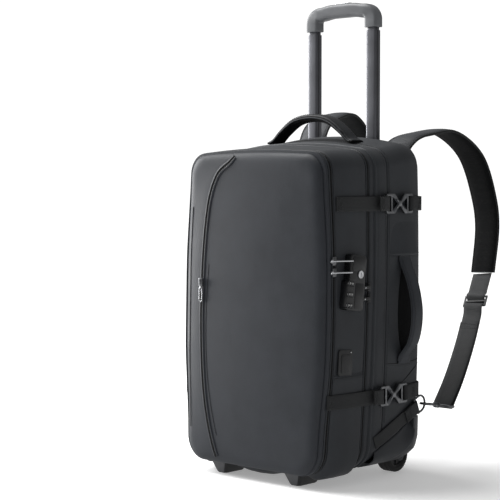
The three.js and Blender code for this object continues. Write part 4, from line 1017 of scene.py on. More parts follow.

# second row of stitching behind the pocket's zip, and a seam near the panel's left edge; the dark cords along both are
# painted shade of the seams' grooves
stitch_line = []
for p in pocket_flat:
    if 60 < p.z < 330:
        stitch_line.append(on_face(p.x + mix(9, 13, ease(abs(p.z - 200), 0, 170)), p.z, 0.1))
stitches("pocket_stitches", stitch_line, [-Y] * len(stitch_line), pitch=3.6)
seam_cord("pocket_edge_seam_shade", stitch_line, 0.4)
edge_line = [on_face(-FACE_WIDTH + mix(10, 16, ease(abs(z - 260), 60, 200)), z, 0.1) for z in range(70, 420, 8)]
seam_cord("panel_edge_seam_shade", edge_line, 0.45)

pull_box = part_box("pocket_pull")
pull_middle = (pull_box[0] + pull_box[1]) / 2 / MM - ORIGIN / MM
pull_top = (pull_box[1].z - ORIGIN.z) / MM
slider = joined(
    (0, block(8.4, 3.2, 12, (pull_middle.x, pull_middle.y + 0.6, pull_top + 7.6), 1.1)),
    (0, block(4.6, 1.8, 8.4, (pull_middle.x, pull_middle.y - 1.9, pull_top + 7.4), 0.8)),
    (0, block(6.2, 3.0, 3.4, (pull_middle.x, pull_middle.y + 0.6, pull_top + 1.6), 0.9)),
)
finish("pocket_slider", slider, [gunmetal], "pocket_zipper")
loop = [(u, v) for u, v in rounded(5.6, 22, 2.6, 5)]
pull_frame = [Vector((pull_middle.x + u, pull_middle.y, pull_middle.z + v)) for u, v in loop]
pull = joined(
    (0, sweep(pull_frame, circle(0.8, 10), Y, looped=True)),
    (1, block(3.0, 1.7, 12.5, (pull_middle.x, pull_middle.y, pull_middle.z - 3.6), 0.7)),
)
finish("pocket_pull_loop", pull, [silver, moulded_black], "pocket_pull", body="pocket_pull_tab")

# Handles
TOP_HANDLE_AT = CASE_DEPTH - 90
TOP_HANDLE = ((-1.0, 0.0), (-0.9, 0.03), (-0.7, 0.42), (-0.4, 0.86), (0.0, 1.0))
arch = []
for across, rise in [*TOP_HANDLE, *[(-a, r) for a, r in reversed(TOP_HANDLE[:-1])]]:
    x = across * 86
    arch.append(Vector((x, TOP_HANDLE_AT, top_z(TOP_HANDLE_AT, x) + mix(2.6, 35, rise))))
arch_path = smooth(arch, 72)


def handle_section(width, thin, thick, power):
    def section(t):
        hold = math.sin(math.pi * clamp(t, 0.001, 0.999)) ** power
        return pillow(width - 4 * hold, mix(thin, thick, hold), 3.2, 28)
    return section


def handle_pieces(name, node_name, path, across, width, thin, thick, power, lined):
    grip = sweep(path, handle_section(width, thin, thick, power), across)
    bmesh.ops.recalc_face_normals(grip, faces=grip.faces)
    for face in grip.faces:
        face.material_index = 1 if face.normal.dot(lined) < 0.4 else 0
    outer = coated_cloth if lined == X else handle_cloth
    grip = finish(f"{name}_pad", grip, [outer, spacer], node_name)
    spots = frames(path, across)
    for number, side in enumerate((1, -1)):
        edge, row, outs = [], [], []
        for i, (p, (_, wide, out)) in enumerate(zip(path, spots)):
            t = i / (len(path) - 1)
            if not 0.06 < t < 0.94:
                continue
            hold = math.sin(math.pi * t) ** power
            half = (width - 4 * hold) / 2
            edge.append(p + wide * side * (half - 0.2))
            upward = out if out.dot(outward(p)) > 0 else -out
            row.append(p + wide * side * (half - 4.2) + upward * (mix(thin, thick, hold) / 2 - 0.25))
            outs.append(upward)
        finish(f"{name}_piping_{number}", sweep(edge, circle(1.15, 8), across), [coated_edge])
        stitches(f"{name}_stitches_{number}", row, outs)
    return grip


def outward(p):
    """Direction away from the middle of the case."""
    return Vector((p.x, 0, p.z - 300))


handle_pieces("top_handle", "top_handle", arch_path, Y, 30, 4, 12, 0.6, Z)

SIDE_HANDLE = ((0.0, 0.0), (0.08, 0.02), (0.28, 0.62), (0.55, 1.0), (0.8, 0.72), (0.94, 0.04), (1.0, 0.0))
side_path = smooth([
    beside(1, CASE_DEPTH - 57, mix(346, 176, along), 2.1 + 23 * bow) for along, bow in SIDE_HANDLE], 64)
handle_pieces("side_handle", "side_handle", side_path, Y, 30, 3, 8, 0.8, X)

# Painted shade on the case behind the side handle: a dark mesh sheet where the handle shades the case, its edge tucked
# into the cloth
RECESS_SHADE_LOW, RECESS_SHADE_HIGH = 186, 344
RECESS_SHADE_AT = (182, 186)
RECESS_SHADE_HALF = 21
recess = []
for i in range(25):
    z = mix(RECESS_SHADE_LOW, RECESS_SHADE_HIGH, i / 24)
    wide = RECESS_SHADE_HALF * math.sin(math.pi * i / 24) ** 0.5
    middle = mix(*RECESS_SHADE_AT, i / 24)
    row = []
    for j in range(13):
        stand = 0.7 if 0 < j < 12 and 0 < i < 24 else -0.6
        row.append(beside(1, mix(middle - wide, middle + wide, j / 12), z, stand))
    recess.append(row)
finish("handle_recess_shade", loft(recess, wrap=False), [spacer], "main_case", wall=0.8)

# Webbing and buckles
WEB_THICK = 1.6
WEB_STAND = 3.6
BAR_TURN = math.hypot(3.6, 4) / 2 + 0.95 / 2 + WEB_THICK / 2
BUCKLE_STAND = 3.4 + BAR_TURN


def web_section(width):
    """Flat strap with rounded edges."""
    half, thick = width / 2, WEB_THICK / 2
    return [
        (half, 0), (half - 0.3, thick * 0.7), (half - 1, thick), (half * 0.5, thick), (0, thick), (-half * 0.5, thick),
        (1 - half, thick), (0.3 - half, thick * 0.7), (-half, 0), (0.3 - half, -thick * 0.7), (1 - half, -thick),
        (-half * 0.5, -thick), (0, -thick), (half * 0.5, -thick), (half - 1, -thick), (half - 0.3, -thick * 0.7),
    ]


def turn_round(place, radius, steps=10):
    return [place(radius * math.cos(a), radius * math.sin(a))
            for a in (-math.pi / 2 + k / steps * math.pi for k in range(steps + 1))]


def strap(name, node_name, path, width, across):
    return finish(name, sweep(path, web_section(width), across), [webbing], node_name, angle=60)


def tack(name, middle, along, wide, out, width, length=9.0):
    """Sewn box with a cross where a strap is fixed."""
    bm_path, outs = [], []
    corners = [(-1, -1), (1, -1), (1, 1), (-1, 1), (-1, -1), (1, 1)]
    for (ua, va), (ub, vb) in zip(corners, corners[1:]):
        for k in range(4):
            u, v = mix(ua, ub, k / 4), mix(va, vb, k / 4)
            bm_path.append(middle + along * u * length / 2 + wide * v * (width / 2 - 2.4))
            outs.append(out)
    bm_path.append(middle + along * length / 2 + wide * (width / 2 - 2.4))
    stitches(name, bm_path, outs, pitch=2.6, length=2.0)


def compression_strap(side, name, start, height, buckle_y):
    base = side_x(buckle_y, height)
    shift = lean_at(buckle_y, height)
    label = "right" if side > 0 else "left"
    seat = WEB_THICK / 2 + 0.7
    for end in (-1, 1):
        bar_y = buckle_y + end * (33 - 1.8)

        def local(along, out):
            return Vector((side * (base + out), bar_y - shift + end * along, height))

        turn = turn_round(lambda u, v: local(-u, BUCKLE_STAND + v), BAR_TURN)
        above = [local(6, BUCKLE_STAND + BAR_TURN), local(12, BUCKLE_STAND + BAR_TURN * 0.97),
                 local(20, BUCKLE_STAND + BAR_TURN * 0.9)]
        if end < 0:
            run = [beside(side, start, height, seat), beside(side, start + 5, height, seat + 0.5),
                   beside(side, start + 16, height, WEB_STAND - 0.4)]
            span = bar_y - start - 22
            run += [beside(side, start + 16 + span * k / 6, height, WEB_STAND) for k in range(1, 7)]
        else:
            corner = HALF_WIDTH * PROFILE[-1][1]
            run = [Vector((side * (corner - 9), CASE_DEPTH + seat + 0.3, height)),
                   Vector((side * (corner + 0.5), CASE_DEPTH + seat - 0.2, height))]
            run += [beside(side, CASE_DEPTH * share, height, seat + 1.6) for share in (0.985, 0.965, 0.94, 0.9)]
        run.append(local(4, WEB_STAND))
        path = smooth(run, 5 * len(run)) + turn + above
        piece = f"{name}_strap_{'front' if end < 0 else 'rear'}_{label}"
        strap(f"{piece}_webbing", piece, path, 22, Z)
        if end < 0:
            tack(f"{piece}_tack", beside(side, start + 9, height, WEB_STAND - 1.1 + WEB_THICK / 2 + 0.25),
                 Y, Z, Vector((side, 0, 0)), 22, 12)
        tack(f"{piece}_hem", local(14, BUCKLE_STAND + BAR_TURN * 0.95 + WEB_THICK / 2 + 0.1), Y, Z,
             Vector((side, 0, 0)), 22, 5)


def buckle_extras(side, name, height, buckle_y):
    """Raised boss and ribs on the crossed arms of a buckle."""
    base = side * (side_x(buckle_y, height) + BUCKLE_STAND + 2)
    y = buckle_y - lean_at(buckle_y, height)
    extras = []
    for lean in (-1, 1):
        arm = block(1.4, 21, 2.6, (0, 0, 0), 0.6)
        moved(arm, Matrix.Translation((base, y, height)) @ Matrix.Rotation(lean * math.radians(40), 4, "X"))
        extras.append((0, arm))
    boss = block(2.4, 8, 8, (base, y, height), 1.1)
    extras.append((0, boss))
    label = "right" if side > 0 else "left"
    refined(f"{name}_buckle_{label}", f"{name}_buckle_cast_{label}", [gunmetal], bevel=0.6,
            extra=extras)


for side in (1, -1):
    compression_strap(side, "upper", FRONT_ZIP + ZIP_WIDTH + 3, 420, CASE_DEPTH - 79)
    compression_strap(side, "lower", FRONT_SEAM + 4, 131, CASE_DEPTH - 85)
    buckle_extras(side, "upper", 420, CASE_DEPTH - 79)
    buckle_extras(side, "lower", 131, CASE_DEPTH - 85)

# Anchors, D-rings and snap hooks
RING_WIRE = 3.4
HOOK_WIRE = 4.0
ANCHOR_TURN = RING_WIRE / 2 + 0.95 / 2 + WEB_THICK / 2


def arc(place, cu, cv, radius, start, end, steps):
    turns = [mix(start, end, k / steps) for k in range(steps + 1)]
    return [place(cu + radius * math.cos(turn), cv + radius * math.sin(turn)) for turn in turns]


def wire(points, radius, looped=True, sides=14):
    normal = Vector()
    for a, b in zip(points[1:], points[2:]):
        normal += (a - points[0]).cross(b - points[0])
    return sweep(points, circle(radius, sides), normal, looped)


def gate_section(t):
    """Round section of the hook's gate, with the turns of its spring at the middle."""
    return circle(1.32 - 0.25 * math.cos(t * math.tau * 4) * (0.3 < t < 0.7), 12)


def anchor_pieces(side):
    label = "right" if side > 0 else "left"
    low_y = CASE_DEPTH - 115
    low = beside(side, low_y, 60, WEB_THICK / 2 + 0.6)
    high = beside(side, CASE_DEPTH - 23, 104, WEB_THICK / 2 + 0.6)
    out = Vector((side, 0, 0))
    bar = high + out * ANCHOR_TURN
    along = Vector((0, high.y - low.y, high.z - low.z)).normalized()
    across = Vector((0, -along.z, along.y))

    def local(u, w):
        return bar + along * u + out * w

    run = [low]
    for t in (0.15, 0.3, 0.45, 0.6, 0.75, 0.88):
        p = low.lerp(high, t)
        y = p.y + lean_at(mix(low_y, CASE_DEPTH - 23, t), p.z)
        p.x = side * (side_x(y, p.z) + 2.6)
        run.append(p)
    run.append(local(-3, -ANCHOR_TURN))
    turn = turn_round(local, ANCHOR_TURN)
    path = smooth([*run, turn[0]], 60)[:-1] + turn + [local(-16, ANCHOR_TURN), local(-32, ANCHOR_TURN)]
    strap(f"anchor_strap_{label}", f"anchor_webbing_{label}", path, 20, across)
    tack(f"anchor_tack_{label}", local(-24, ANCHOR_TURN + WEB_THICK / 2 + 0.15), along, across, out, 20, 11)

    eye = Vector((bar.x, CASE_DEPTH + 48, 98))
    pull_ = eye - bar
    reach = (pull_ - across * pull_.dot(across)).normalized()
    half = 10 + RING_WIRE / 2 + 0.6

    def ring_place(u, v):
        return bar + reach * u + across * v

    straight = 20 - half + RING_WIRE
    bend = 2.6
    points = [ring_place(0, t * (half - bend)) for t in (-1, -0.5, 0, 0.5, 1)]
    points += arc(ring_place, bend, half - bend, bend, math.pi, math.pi / 2, 5)[1:]
    points += arc(ring_place, straight, 0, half, math.pi / 2, -math.pi / 2, 24)[1:]
    points += arc(ring_place, bend, bend - half, bend, -math.pi / 2, -math.pi, 5)[1:-1]
    finish(f"d_ring_wire_{label}", wire(points, RING_WIRE / 2), [gunmetal], f"d_ring_{label}")

    swing = math.atan2(pull_.dot(across), pull_.dot(reach) - straight)
    hooked = ring_place(straight + half * math.cos(swing), half * math.sin(swing))
    to_eye = (eye - hooked).normalized()
    wide = (X - to_eye * to_eye.x).normalized()

    def hook_place(u, v):
        return hooked + to_eye * u + wide * v * side

    r = (13 + HOOK_WIRE) / 2
    near = r - (RING_WIRE + HOOK_WIRE) / 2 - 0.9
    far = near + 30 - 2 * r
    hook = arc(hook_place, near, 0, r, math.pi / 2, math.pi * 1.5, 18)
    hook += arc(hook_place, far, 0, r, -math.pi / 2, math.pi / 2, 18)
    eye_at = (eye - hooked).length
    e = 17.5 + HOOK_WIRE
    eye_near = eye_at - 8 - HOOK_WIRE
    frame_points = []
    for cu, cv, start in ((eye_near + 3, e - 3, math.pi), (eye_at - 3, e - 3, math.pi / 2),
                          (eye_at - 3, 3 - e, 0.0), (eye_near + 3, 3 - e, -math.pi / 2)):
        frame_points += arc(hook_place, cu, cv, 3, start, start - math.pi / 2, 6)
    parts = [
        (0, wire(hook, HOOK_WIRE / 2, looped=False)),
        (0, wire(frame_points, HOOK_WIRE / 2)),
    ]
    stem_from, stem_to = far + r - 1.0, eye_near
    stem = []
    for k in range(17):
        t = k / 16
        radius = HOOK_WIRE * (0.62 + 0.5 * ease(t, 0.1, 0.3) - 0.26 * ease(t, 0.55, 0.62) + 0.3 * ease(t, 0.7, 0.78)
                              - 0.4 * ease(t, 0.9, 1.0))
        centre = hook_place(mix(stem_from, stem_to, t), 0)
        ring_out = to_eye.cross(wide).normalized()
        stem.append([centre + wide * u + ring_out * v for u, v in circle(radius, 20)])
    parts.append((0, loft(stem, caps=True)))
    finish(f"snap_hook_cast_{label}", joined(*parts), [gunmetal], f"snap_hook_{label}")
    gate_points = [hook_place(mix(near + 0.6, far - 0.6, k / 8), r) for k in range(9)]
    gate = sweep(gate_points, gate_section, wide)
    finish(f"hook_gate_pin_{label}", gate, [gunmetal], f"hook_gate_{label}", body=f"{label}_gate")
    return eye


# Shoulder straps
STRAP = (
    (0.0, 0.028, "root", 0.0), (0.02, 0.035, "root", 0.35), (0.1, 0.13, "root", 0.72), (0.22, 0.32, "root", 0.93),
    (0.37, 0.58, "root", 1.0), (0.59, 0.875, "drop", 0.16), (0.84, 0.99, "drop", 0.47), (0.94, 1.0, "drop", 0.67),
    (1.0, 0.92, "drop", 1.0),
)
WEBBING = ((0.2, 0.13, 0.127), (0.4, 0.26, 0.26), (0.8, 0.5, 0.52), (1.0, 0.78, 0.805))
PAD_END = 303
SLIDER_BAR = 2.4


def pad_strap_section(t):
    """Crowned outer cloth, bound edges and flat inner mesh. The outer side is at negative v."""
    half = mix(58, 46, t) / 2
    points = []
    for k in range(13):
        u = mix(-1, 1, k / 12)
        points.append((u * (half - 2.2), -1.2 - 3.2 * (1 - abs(u) ** 3)))
    for k in range(7):
        a = -math.pi / 2 + k / 6 * math.pi
        points.append((half - 2.0 + 2.0 * math.cos(a), 2.0 * math.sin(a)))
    for k in range(13):
        u = mix(1, -1, k / 12)
        points.append((u * (half - 2.2), 1.2 + 3.0 * (1 - abs(u) ** 4)))
    for k in range(7):
        a = math.pi / 2 + k / 6 * math.pi
        points.append((2.0 - half + 2.0 * math.cos(a), 2.0 * math.sin(a)))
    return points


def pad_strap_paint(i, j):
    if j < 12:
        return 0
    if j < 20:
        return 2
    return 1 if j < 33 else 2


def shoulder_strap(side, arch_top, eye):
    label = "right" if side > 0 else "left"
    points = []
    for across, back, part, share in STRAP:
        z = mix(486, arch_top, share) if part == "root" else mix(arch_top, PAD_END, share)
        points.append(Vector((side * (86 + 49 * across), CASE_DEPTH + 200 * back, z)))
    pad_path = smooth(points, 88)
    pad_ = finish(f"shoulder_pad_cover_{label}", sweep(pad_path, pad_strap_section, X, paint=pad_strap_paint),
                  [coated_cloth, spacer, binding], f"shoulder_pad_{label}", angle=60)
    spots = frames(pad_path, X)
    for number, edge in enumerate((1, -1)):
        row, outs = [], []
        for i, (p, (_, wide, out)) in enumerate(zip(pad_path, spots)):
            half = mix(58, 46, i / (len(pad_path) - 1)) / 2
            row.append(p + wide * edge * (half - 5) - out * 2.6)
            outs.append(-out)
        stitches(f"shoulder_stitches_{label}_{number}", row[2:-2], outs[2:-2])

    end = pad_path[-1]
    line = smooth([
        end + Vector((0, -1.2, -2.2)),
        *[Vector((mix(end.x, eye.x, a), mix(end.y, eye.y, forward), mix(end.z, eye.z, down)))
          for a, forward, down in WEBBING],
        eye,
    ], 20)
    turn = HOOK_WIRE / 2 + 0.95 / 2 + WEB_THICK / 2
    steps = []
    for i, p in enumerate(line):
        tangent = (line[min(i + 1, len(line) - 1)] - line[max(i - 1, 0)]).normalized()
        out = tangent.cross(X).normalized()
        steps.append((p, out if out.y > 0 else -out, tangent))
    row = round(len(steps) * 0.33)
    middle, face, down = steps[row]
    pitch = (steps[row + 1][0] - steps[row - 1][0]).length / 2
    wave = SLIDER_BAR * math.sqrt(0.5) + WEB_THICK / 2 + 0.95
    outer = []
    for i, (p, out, _) in enumerate(steps[:-1]):
        step = i - row
        if abs(step) <= 1:
            outer.append(middle + down * step * pitch + face * (wave if step == 0 else -wave))
        else:
            outer.append(p + out * (turn * step / (len(line) - row) if step > 0 else 0))
    at, out, tangent = steps[-1]
    round_ = turn_round(lambda u, v: at + tangent * u - out * v, turn)
    inner_rows = list(reversed(steps[row + 3:-1]))
    last = len(inner_rows) - 1
    inner = [p - o * mix(turn * 0.9, WEB_THICK, k / last) for k, (p, o, _) in enumerate(inner_rows)]
    path = smooth(outer, 3 * len(outer)) + round_ + smooth(inner, 2 * len(inner))
    strap(f"shoulder_strap_webbing_{label}", f"shoulder_webbing_{label}", path, 35, X)
    last_inner = inner[-1]
    tack(f"shoulder_tack_{label}", last_inner - inner_rows[-1][2] * -8 - inner_rows[-1][1] * (WEB_THICK / 2 + 0.1),
         inner_rows[-1][2], X, -inner_rows[-1][1], 35, 8)
    refined(f"strap_slider_{label}", f"strap_slider_moulded_{label}", [moulded_black],
            bevel=0.5)


for side, arch_top in ((1, 533), (-1, 566)):
    shoulder_strap(side, arch_top, anchor_pieces(side))

# Running gear


def foot_paint(face):
    return 0 if face.normal.y < -0.7 or face.normal.z > 0.7 else 1


WHEEL_X = 113
WHEEL_AT = CASE_DEPTH - 34
WHEEL_RADIUS = 27
TREAD = (
    (-10, 18.2), (-12, 20), (-12, 24.4), (-10.6, 26.2), (-8.4, 27), (-5.2, 27), (-4.8, 26.2), (-3.8, 26.2),
    (-3.4, 27),
    (3.4, 27), (3.8, 26.2), (4.8, 26.2), (5.2, 27), (8.4, 27), (10.6, 26.2), (12, 24.4), (12, 20),
    (10, 18.2), (6, 17.6),
    (-6, 17.6),
)
HUB = (
    (-9.6, 3.9), (-9.6, 7), (-8.4, 8), (-6.6, 9), (-6.6, 15), (-8.2, 16.4), (-9.8, 17), (-9.8, 18.1),
    (9.8, 18.1),
    (9.8, 17), (8.2, 16.4), (6.6, 15), (6.6, 9), (8.4, 8), (9.6, 7), (9.6, 3.9),
)
for side, label in SIDES:
    refined(f"wheel_guard_{label}", f"wheel_guard_moulded_{label}", [guard_grey], bevel=0.7)
    refined(f"foot_{label}", f"foot_moulded_{label}", [foot_grey, moulded_black], bevel=0.8,
            paint=foot_paint)
    place = Matrix.Translation((side * WHEEL_X, WHEEL_AT, WHEEL_RADIUS))
    spokes = []
    for k in range(6):
        spoke = block(17, 2.2, 8.4, (0, 0, 12), 0.5)
        spokes.append((1, moved(spoke, Matrix.Rotation(k / 6 * math.tau, 4, "X"))))
    wheel = joined((0, turned(TREAD, 72)), (1, turned(HUB, 48)), *spokes)
    finish(f"wheel_turned_{label}", moved(wheel, place), [tyre_rubber, moulded_black], f"wheel_{label}",
           body=f"{label}_wheel")
refined("base_frame", "base_frame_moulded", [moulded_black], bevel=0.5)

# Telescopic handle
TUBE_X = 60
TUBE_AT = CASE_DEPTH - 17
GRIP_TOP = 738
SLEEVE_END = 697
MID_TOP = 692


def handle_tube(name, node_name, width, depth, corner, low, high, side, body_name, groove_wide=2.2):
    """Tube with a flat dark strip on each side face near its front edge, painted shade standing for a groove."""
    section = rounded(width, depth, corner, 5)
    x = side * TUBE_X
    outer = [[Vector((x + u, TUBE_AT + v, z)) for u, v in section] for z in (low, high)]
    inset = rounded(width - 2.4, depth - 2.4, max(corner - 1.2, 0.6), 5)
    inner = [[Vector((x + u, TUBE_AT + v, z)) for u, v in inset] for z in (high, low)]
    bm = loft([*outer, *inner], loop=True)
    parts = [(0, bevelled(bm, 0.25, 2, 60))]
    for edge in (1, -1):
        middle = (x + edge * (width / 2 - 0.12), TUBE_AT - depth / 2 + corner + groove_wide / 2, (low + high) / 2)
        parts.append((1, block(0.5, groove_wide, high - low - 0.6, middle)))
    return finish(name, joined(*parts), [tube_metal, groove_shade], node_name, body=body_name)


for side, label in SIDES:
    handle_tube(f"mid_tube_drawn_{label}", f"mid_tube_{label}", 20, 15, 4, MID_TOP - 330, MID_TOP, side,
                "handle_lower")
    handle_tube(f"inner_tube_drawn_{label}", f"inner_tube_{label}", 16.8, 11.8, 2.4, SLEEVE_END - 300.3,
                SLEEVE_END - 0.3, side, "handle_upper", 1.6)

GRIP_LINE = GRIP_TOP - 11
BEND = 15
grip_half = [Vector((TUBE_X, TUBE_AT, z)) for z in (SLEEVE_END, SLEEVE_END + 5)]
GRIP_SAG = 3
grip_half += arc(lambda u, v: Vector((u, TUBE_AT, v)), TUBE_X - BEND, GRIP_LINE - BEND - GRIP_SAG, BEND, 0,
                 math.pi / 2, 14)
for x in (40, 34, 28, 21, 14, 7):
    grip_half.append(Vector((x, TUBE_AT, mix(GRIP_LINE - GRIP_SAG, GRIP_LINE, ease(45 - x, 0, 24)))))
grip_path = grip_half + [Vector((-p.x, p.y, p.z)) for p in reversed(grip_half)]


def grip_section(t):
    middle = ease(min(t, 1 - t), 0.05, 0.35)
    return rounded(mix(20, 24, middle), mix(25, 22, middle), mix(5, 8, middle), 5)


grip = sweep(grip_path, grip_section, Y)
well = plate(rounded(33.2, 12.2, 6.0, 8), 22)
moved(well, Matrix.Translation((0, TUBE_AT, 729.6)))
grip = carved(grip, well)
finish("grip_moulded", bevelled(grip, 0.35, 2, 55), [grip_grey], "grip", body="handle_upper",
       angle=50)
button = plate(rounded(32, 11, 5.4, 8), 6)
moved(button, Matrix.Translation((0, TUBE_AT, 733.2)))
finish("grip_button_oval", bevelled(button, 0.8, 3, 50), [silver], "grip_button",
       body="handle_button")

# Lock, zip pulls and cable port
LOCK_AT = 53
LOCK_CENTRE = 305
LOCK_THICK = 12
TILT = math.radians(-7)
# The lock stands where its dials' axes are in the frame
DIAL_W = 9
dial_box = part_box("lock_dial_1")
lock_base = ((dial_box[0].x + dial_box[1].x) / 2 - ORIGIN.x) / MM - DIAL_W
lock_shift = lean_at(LOCK_AT, LOCK_CENTRE)
TO_SIDE = basis(Y, Z, X)
LOCK_FOOT = Matrix.Translation((lock_base, LOCK_AT - lock_shift, LOCK_CENTRE))
LOCK_PLACE = LOCK_FOOT @ Matrix.Rotation(TILT, 4, "X") @ TO_SIDE


def on_lock(bm, u=0.0, v=0.0, w=0.0):
    """Places a part by the lock's own axes: u towards the back, v up, w out from the side."""
    return moved(bm, LOCK_PLACE @ Matrix.Translation((u, v, w)))


DIALS = (-2, -18, -34)
DIAL_U = -12.5
KEY_U, KEY_V = 7.5, 13
lock_edge = [
    (20.5, -35), (20.5, 35), (18.7, 39.2), (14.5, 41), (-12, 41), (-15.2, 39.7), (-16.5, 36.5), (-16.5, 4.5),
    (-17.6, 2.6), (-19.4, 1.2), (-20.5, -0.8), (-20.5, -35), (-18.7, -39.2), (-14.5, -41), (14.5, -41),
    (18.7, -39.2),
]
lock = bevelled(plate(lock_edge, LOCK_THICK + 1.4), 1.3, 4, 60)
slots = []
for v in DIALS:
    slots.append(block(14.2, 7.6, 24, (DIAL_U, v, LOCK_THICK + 1.4)))
key_hole = bmesh.new()
bmesh.ops.create_cone(key_hole, cap_ends=True, segments=40, radius1=6.35, radius2=6.35, depth=8,
                      matrix=Matrix.Translation((KEY_U, KEY_V, LOCK_THICK + 1.4)))
slots.append(key_hole)
lock = carved(lock, *slots)
plate_line = moved(plate(rounded(30, 22, 4, 4), 0.7), Matrix.Translation((3.5, 28, LOCK_THICK + 1.2)))
lower_line = bevelled(plate(rounded(20, 38, 3, 4), 0.7), 0.25)
moved(lower_line, Matrix.Translation((8.5, -19, LOCK_THICK + 1.2)))
lock_parts = joined((0, lock), (0, bevelled(plate_line, 0.25)), (0, lower_line))
on_lock(lock_parts, 0, 0, -1.4)
finish("lock_case", lock_parts, [lock_black], "lock_body")


def digit(text, height):
    """Plain numeral as a thin plate in its own plane, centred."""
    curve = bpy.data.curves.new("numeral", "FONT")
    curve.body = text
    curve.size = height
    curve.extrude = 0.12
    curve.align_x = "CENTER"
    curve.align_y = "CENTER"
    curve.resolution_u = 3
    thing = bpy.data.objects.new("numeral", curve)
    bpy.context.scene.collection.objects.link(thing)
    bpy.context.view_layer.update()
    mesh = bpy.data.meshes.new_from_object(thing.evaluated_get(bpy.context.evaluated_depsgraph_get()))
    bm = bmesh.new()
    bm.from_mesh(mesh)
    bpy.data.meshes.remove(mesh)
    bpy.data.objects.remove(thing)
    bpy.data.curves.remove(curve)
    return bm


for number, v in enumerate(DIALS, 1):
    dial = turned([(-3.5, 1.5), (-3.5, 5.7), (-2.9, 6.4), (2.9, 6.4), (3.5, 5.7), (3.5, 1.5)], 40)
    moved(dial, Matrix.Rotation(math.pi / 2, 4, "Z"))
    parts = [(0, dial)]
    for k in range(10):
        turn = Matrix.Rotation(k / 10 * math.tau, 4, "Y")
        numeral = digit(str(k), 4.4)
        parts.append((1, moved(numeral, turn @ Matrix.Translation((0, 0, 6.42)))))
        notch = block(0.7, 6.2, 0.5, (0, 0, 6.4))
        parts.append((2, moved(notch, Matrix.Rotation((k + 0.5) / 10 * math.tau, 4, "Y"))))
    wheel = joined(*parts)
    on_lock(wheel, DIAL_U, v, DIAL_W)
    finish(f"dial_{number}_numbered", wheel, [moulded_black, white_ink, gunmetal],
           f"lock_dial_{number}", body=f"dial_{number}")

plug = turned([(-1.6, 0.01), (-1.6, 5.9), (1.6, 5.9), (2.1, 5.4), (2.1, 3.9), (1.7, 3.6), (1.7, 0.01)], 40)
moved(plug, Matrix.Rotation(-math.pi / 2, 4, "Y"))
slot_cut = block(1.5, 5.6, 3, (0, 0, 2.2))
plug = carved(plug, slot_cut)
on_lock(plug, KEY_U, KEY_V, LOCK_THICK)
finish("key_plug_turned", plug, [silver], "key_plug", body="key_lock")

# name, depth of its zip, height as a share of the lock's, 1 when it runs back to the lock and -1 forwards
PULLS = (
    ("front_zip_pull_upper", FRONT_ZIP + ZIP_WIDTH / 2, 0.4, 1),
    ("front_zip_pull_lower", FRONT_ZIP + ZIP_WIDTH / 2, 0.195, 1),
    ("main_zip_pull_upper", MAIN_ZIP + ZIP_WIDTH / 2, -0.1, -1),
    ("main_zip_pull_lower", MAIN_ZIP + ZIP_WIDTH / 2, -0.305, -1),
)
for name, at, up, towards in PULLS:
    z = LOCK_CENTRE + 82 * up
    y = at - lock_shift
    x = side_x(at, z)
    slider = joined(
        (0, block(2.6, 7.6, 12.6, (x + 1.9, y, z), 0.9)),
        (0, block(1.8, 4.4, 9, (x + 3.6, y, z), 0.7)),
        (0, block(2.4, 4.6, 3.2, (x + 4.5, y + towards * 3.4, z), 0.8)),
    )
    lift = LOCK_THICK + 1.4
    tip = LOCK_AT - towards * (16.5 if towards > 0 else 20.5) - math.sin(TILT) * (z - LOCK_CENTRE) - lock_shift
    if towards > 0:
        line = smooth([
            Vector((x + 5.2, y - 9, z)), Vector((x + 8, mix(y - 6, tip, 0.45), z)),
            Vector((lock_base + lift - 1, tip - 2, z)), Vector((lock_base + lift + 0.4, tip + 1, z)),
            Vector((lock_base + lift + 0.2, tip + 3, z)), Vector((lock_base + lift - 2.4, tip + 4.4, z)),
        ], 24)
        bar = sweep(line, rounded(2.2, 1.3, 0.5, 2), Z)
        eye_line = [Vector((x + 5.4 + 0.4 * v, y - 9.4 + u, z + v)) for u, v in circle(2.2, 18)]
        eye_ring = sweep(eye_line, circle(0.55, 8), X, looped=True)
        parts = joined((0, slider), (1, bar), (1, eye_ring))
    else:
        line = smooth([Vector((x + 5.2, y - 3, z)), Vector((x + 7.2, mix(y, tip, 0.5), z)),
                       Vector((x + 8, tip + 1, z)), Vector((x + 8, tip - 3, z))], 18)
        bar = sweep(line, rounded(5.0, 2.0, 0.8, 2), Z)
        end_dot = block(1.0, 2.2, 2.2, (x + 9.2, mix(y, tip, 0.86), z), 0.4)
        parts = joined((0, slider), (0, bar), (1, end_dot))
    finish(f"{name}_cast", parts, [gunmetal if towards > 0 else moulded_black, silver],
           name)

PORT_AT, PORT_CENTRE = 44, 188
port_foot = Matrix.Translation(beside(1, PORT_AT, PORT_CENTRE, 0))
port_place = port_foot @ Matrix.Rotation(TILT / 2, 4, "X") @ TO_SIDE
patch = joined(
    (0, bevelled(plate(rounded(32, 38, 4, 5), 2.1), 0.5, 3)),
    (0, moved(bevelled(plate(rounded(20, 27, 2.5, 4), 1.6), 0.6, 3), Matrix.Translation((0, -1.5, 1.4)))),
    (0, moved(bevelled(plate(rounded(13, 1.6, 0.7, 3), 0.6), 0.2), Matrix.Translation((0, 9.0, 2.8)))),
    # the small silver dot at the cover's upper back corner is a painted highlight
    (1, moved(bevelled(plate(circle(1.0, 16), 0.7), 0.2), Matrix.Translation((11.5, 15, 1.9)))),
)
finish("cable_port_cover", moved(patch, port_place), [moulded_black, silver], "cable_port")

# Stage
FLOOR_HALF = 14
SKY_LEFT, SKY_RIGHT = 0.35, 0.22
SKY_SEEN = 1.1
stage_floor = bpy.data.meshes.new("studio_floor")
bm = bmesh.new()
bmesh.ops.create_grid(bm, x_segments=2, y_segments=2, size=FLOOR_HALF)
bm.to_mesh(stage_floor)
bm.free()
pale = material("studio_paper", "f4f4f4", "f7f7f7", 0.7, depth=0.02, scale={"Scale": 200.0}, emission_strength=0.3,
                emission_color=(1, 1, 1, 1))
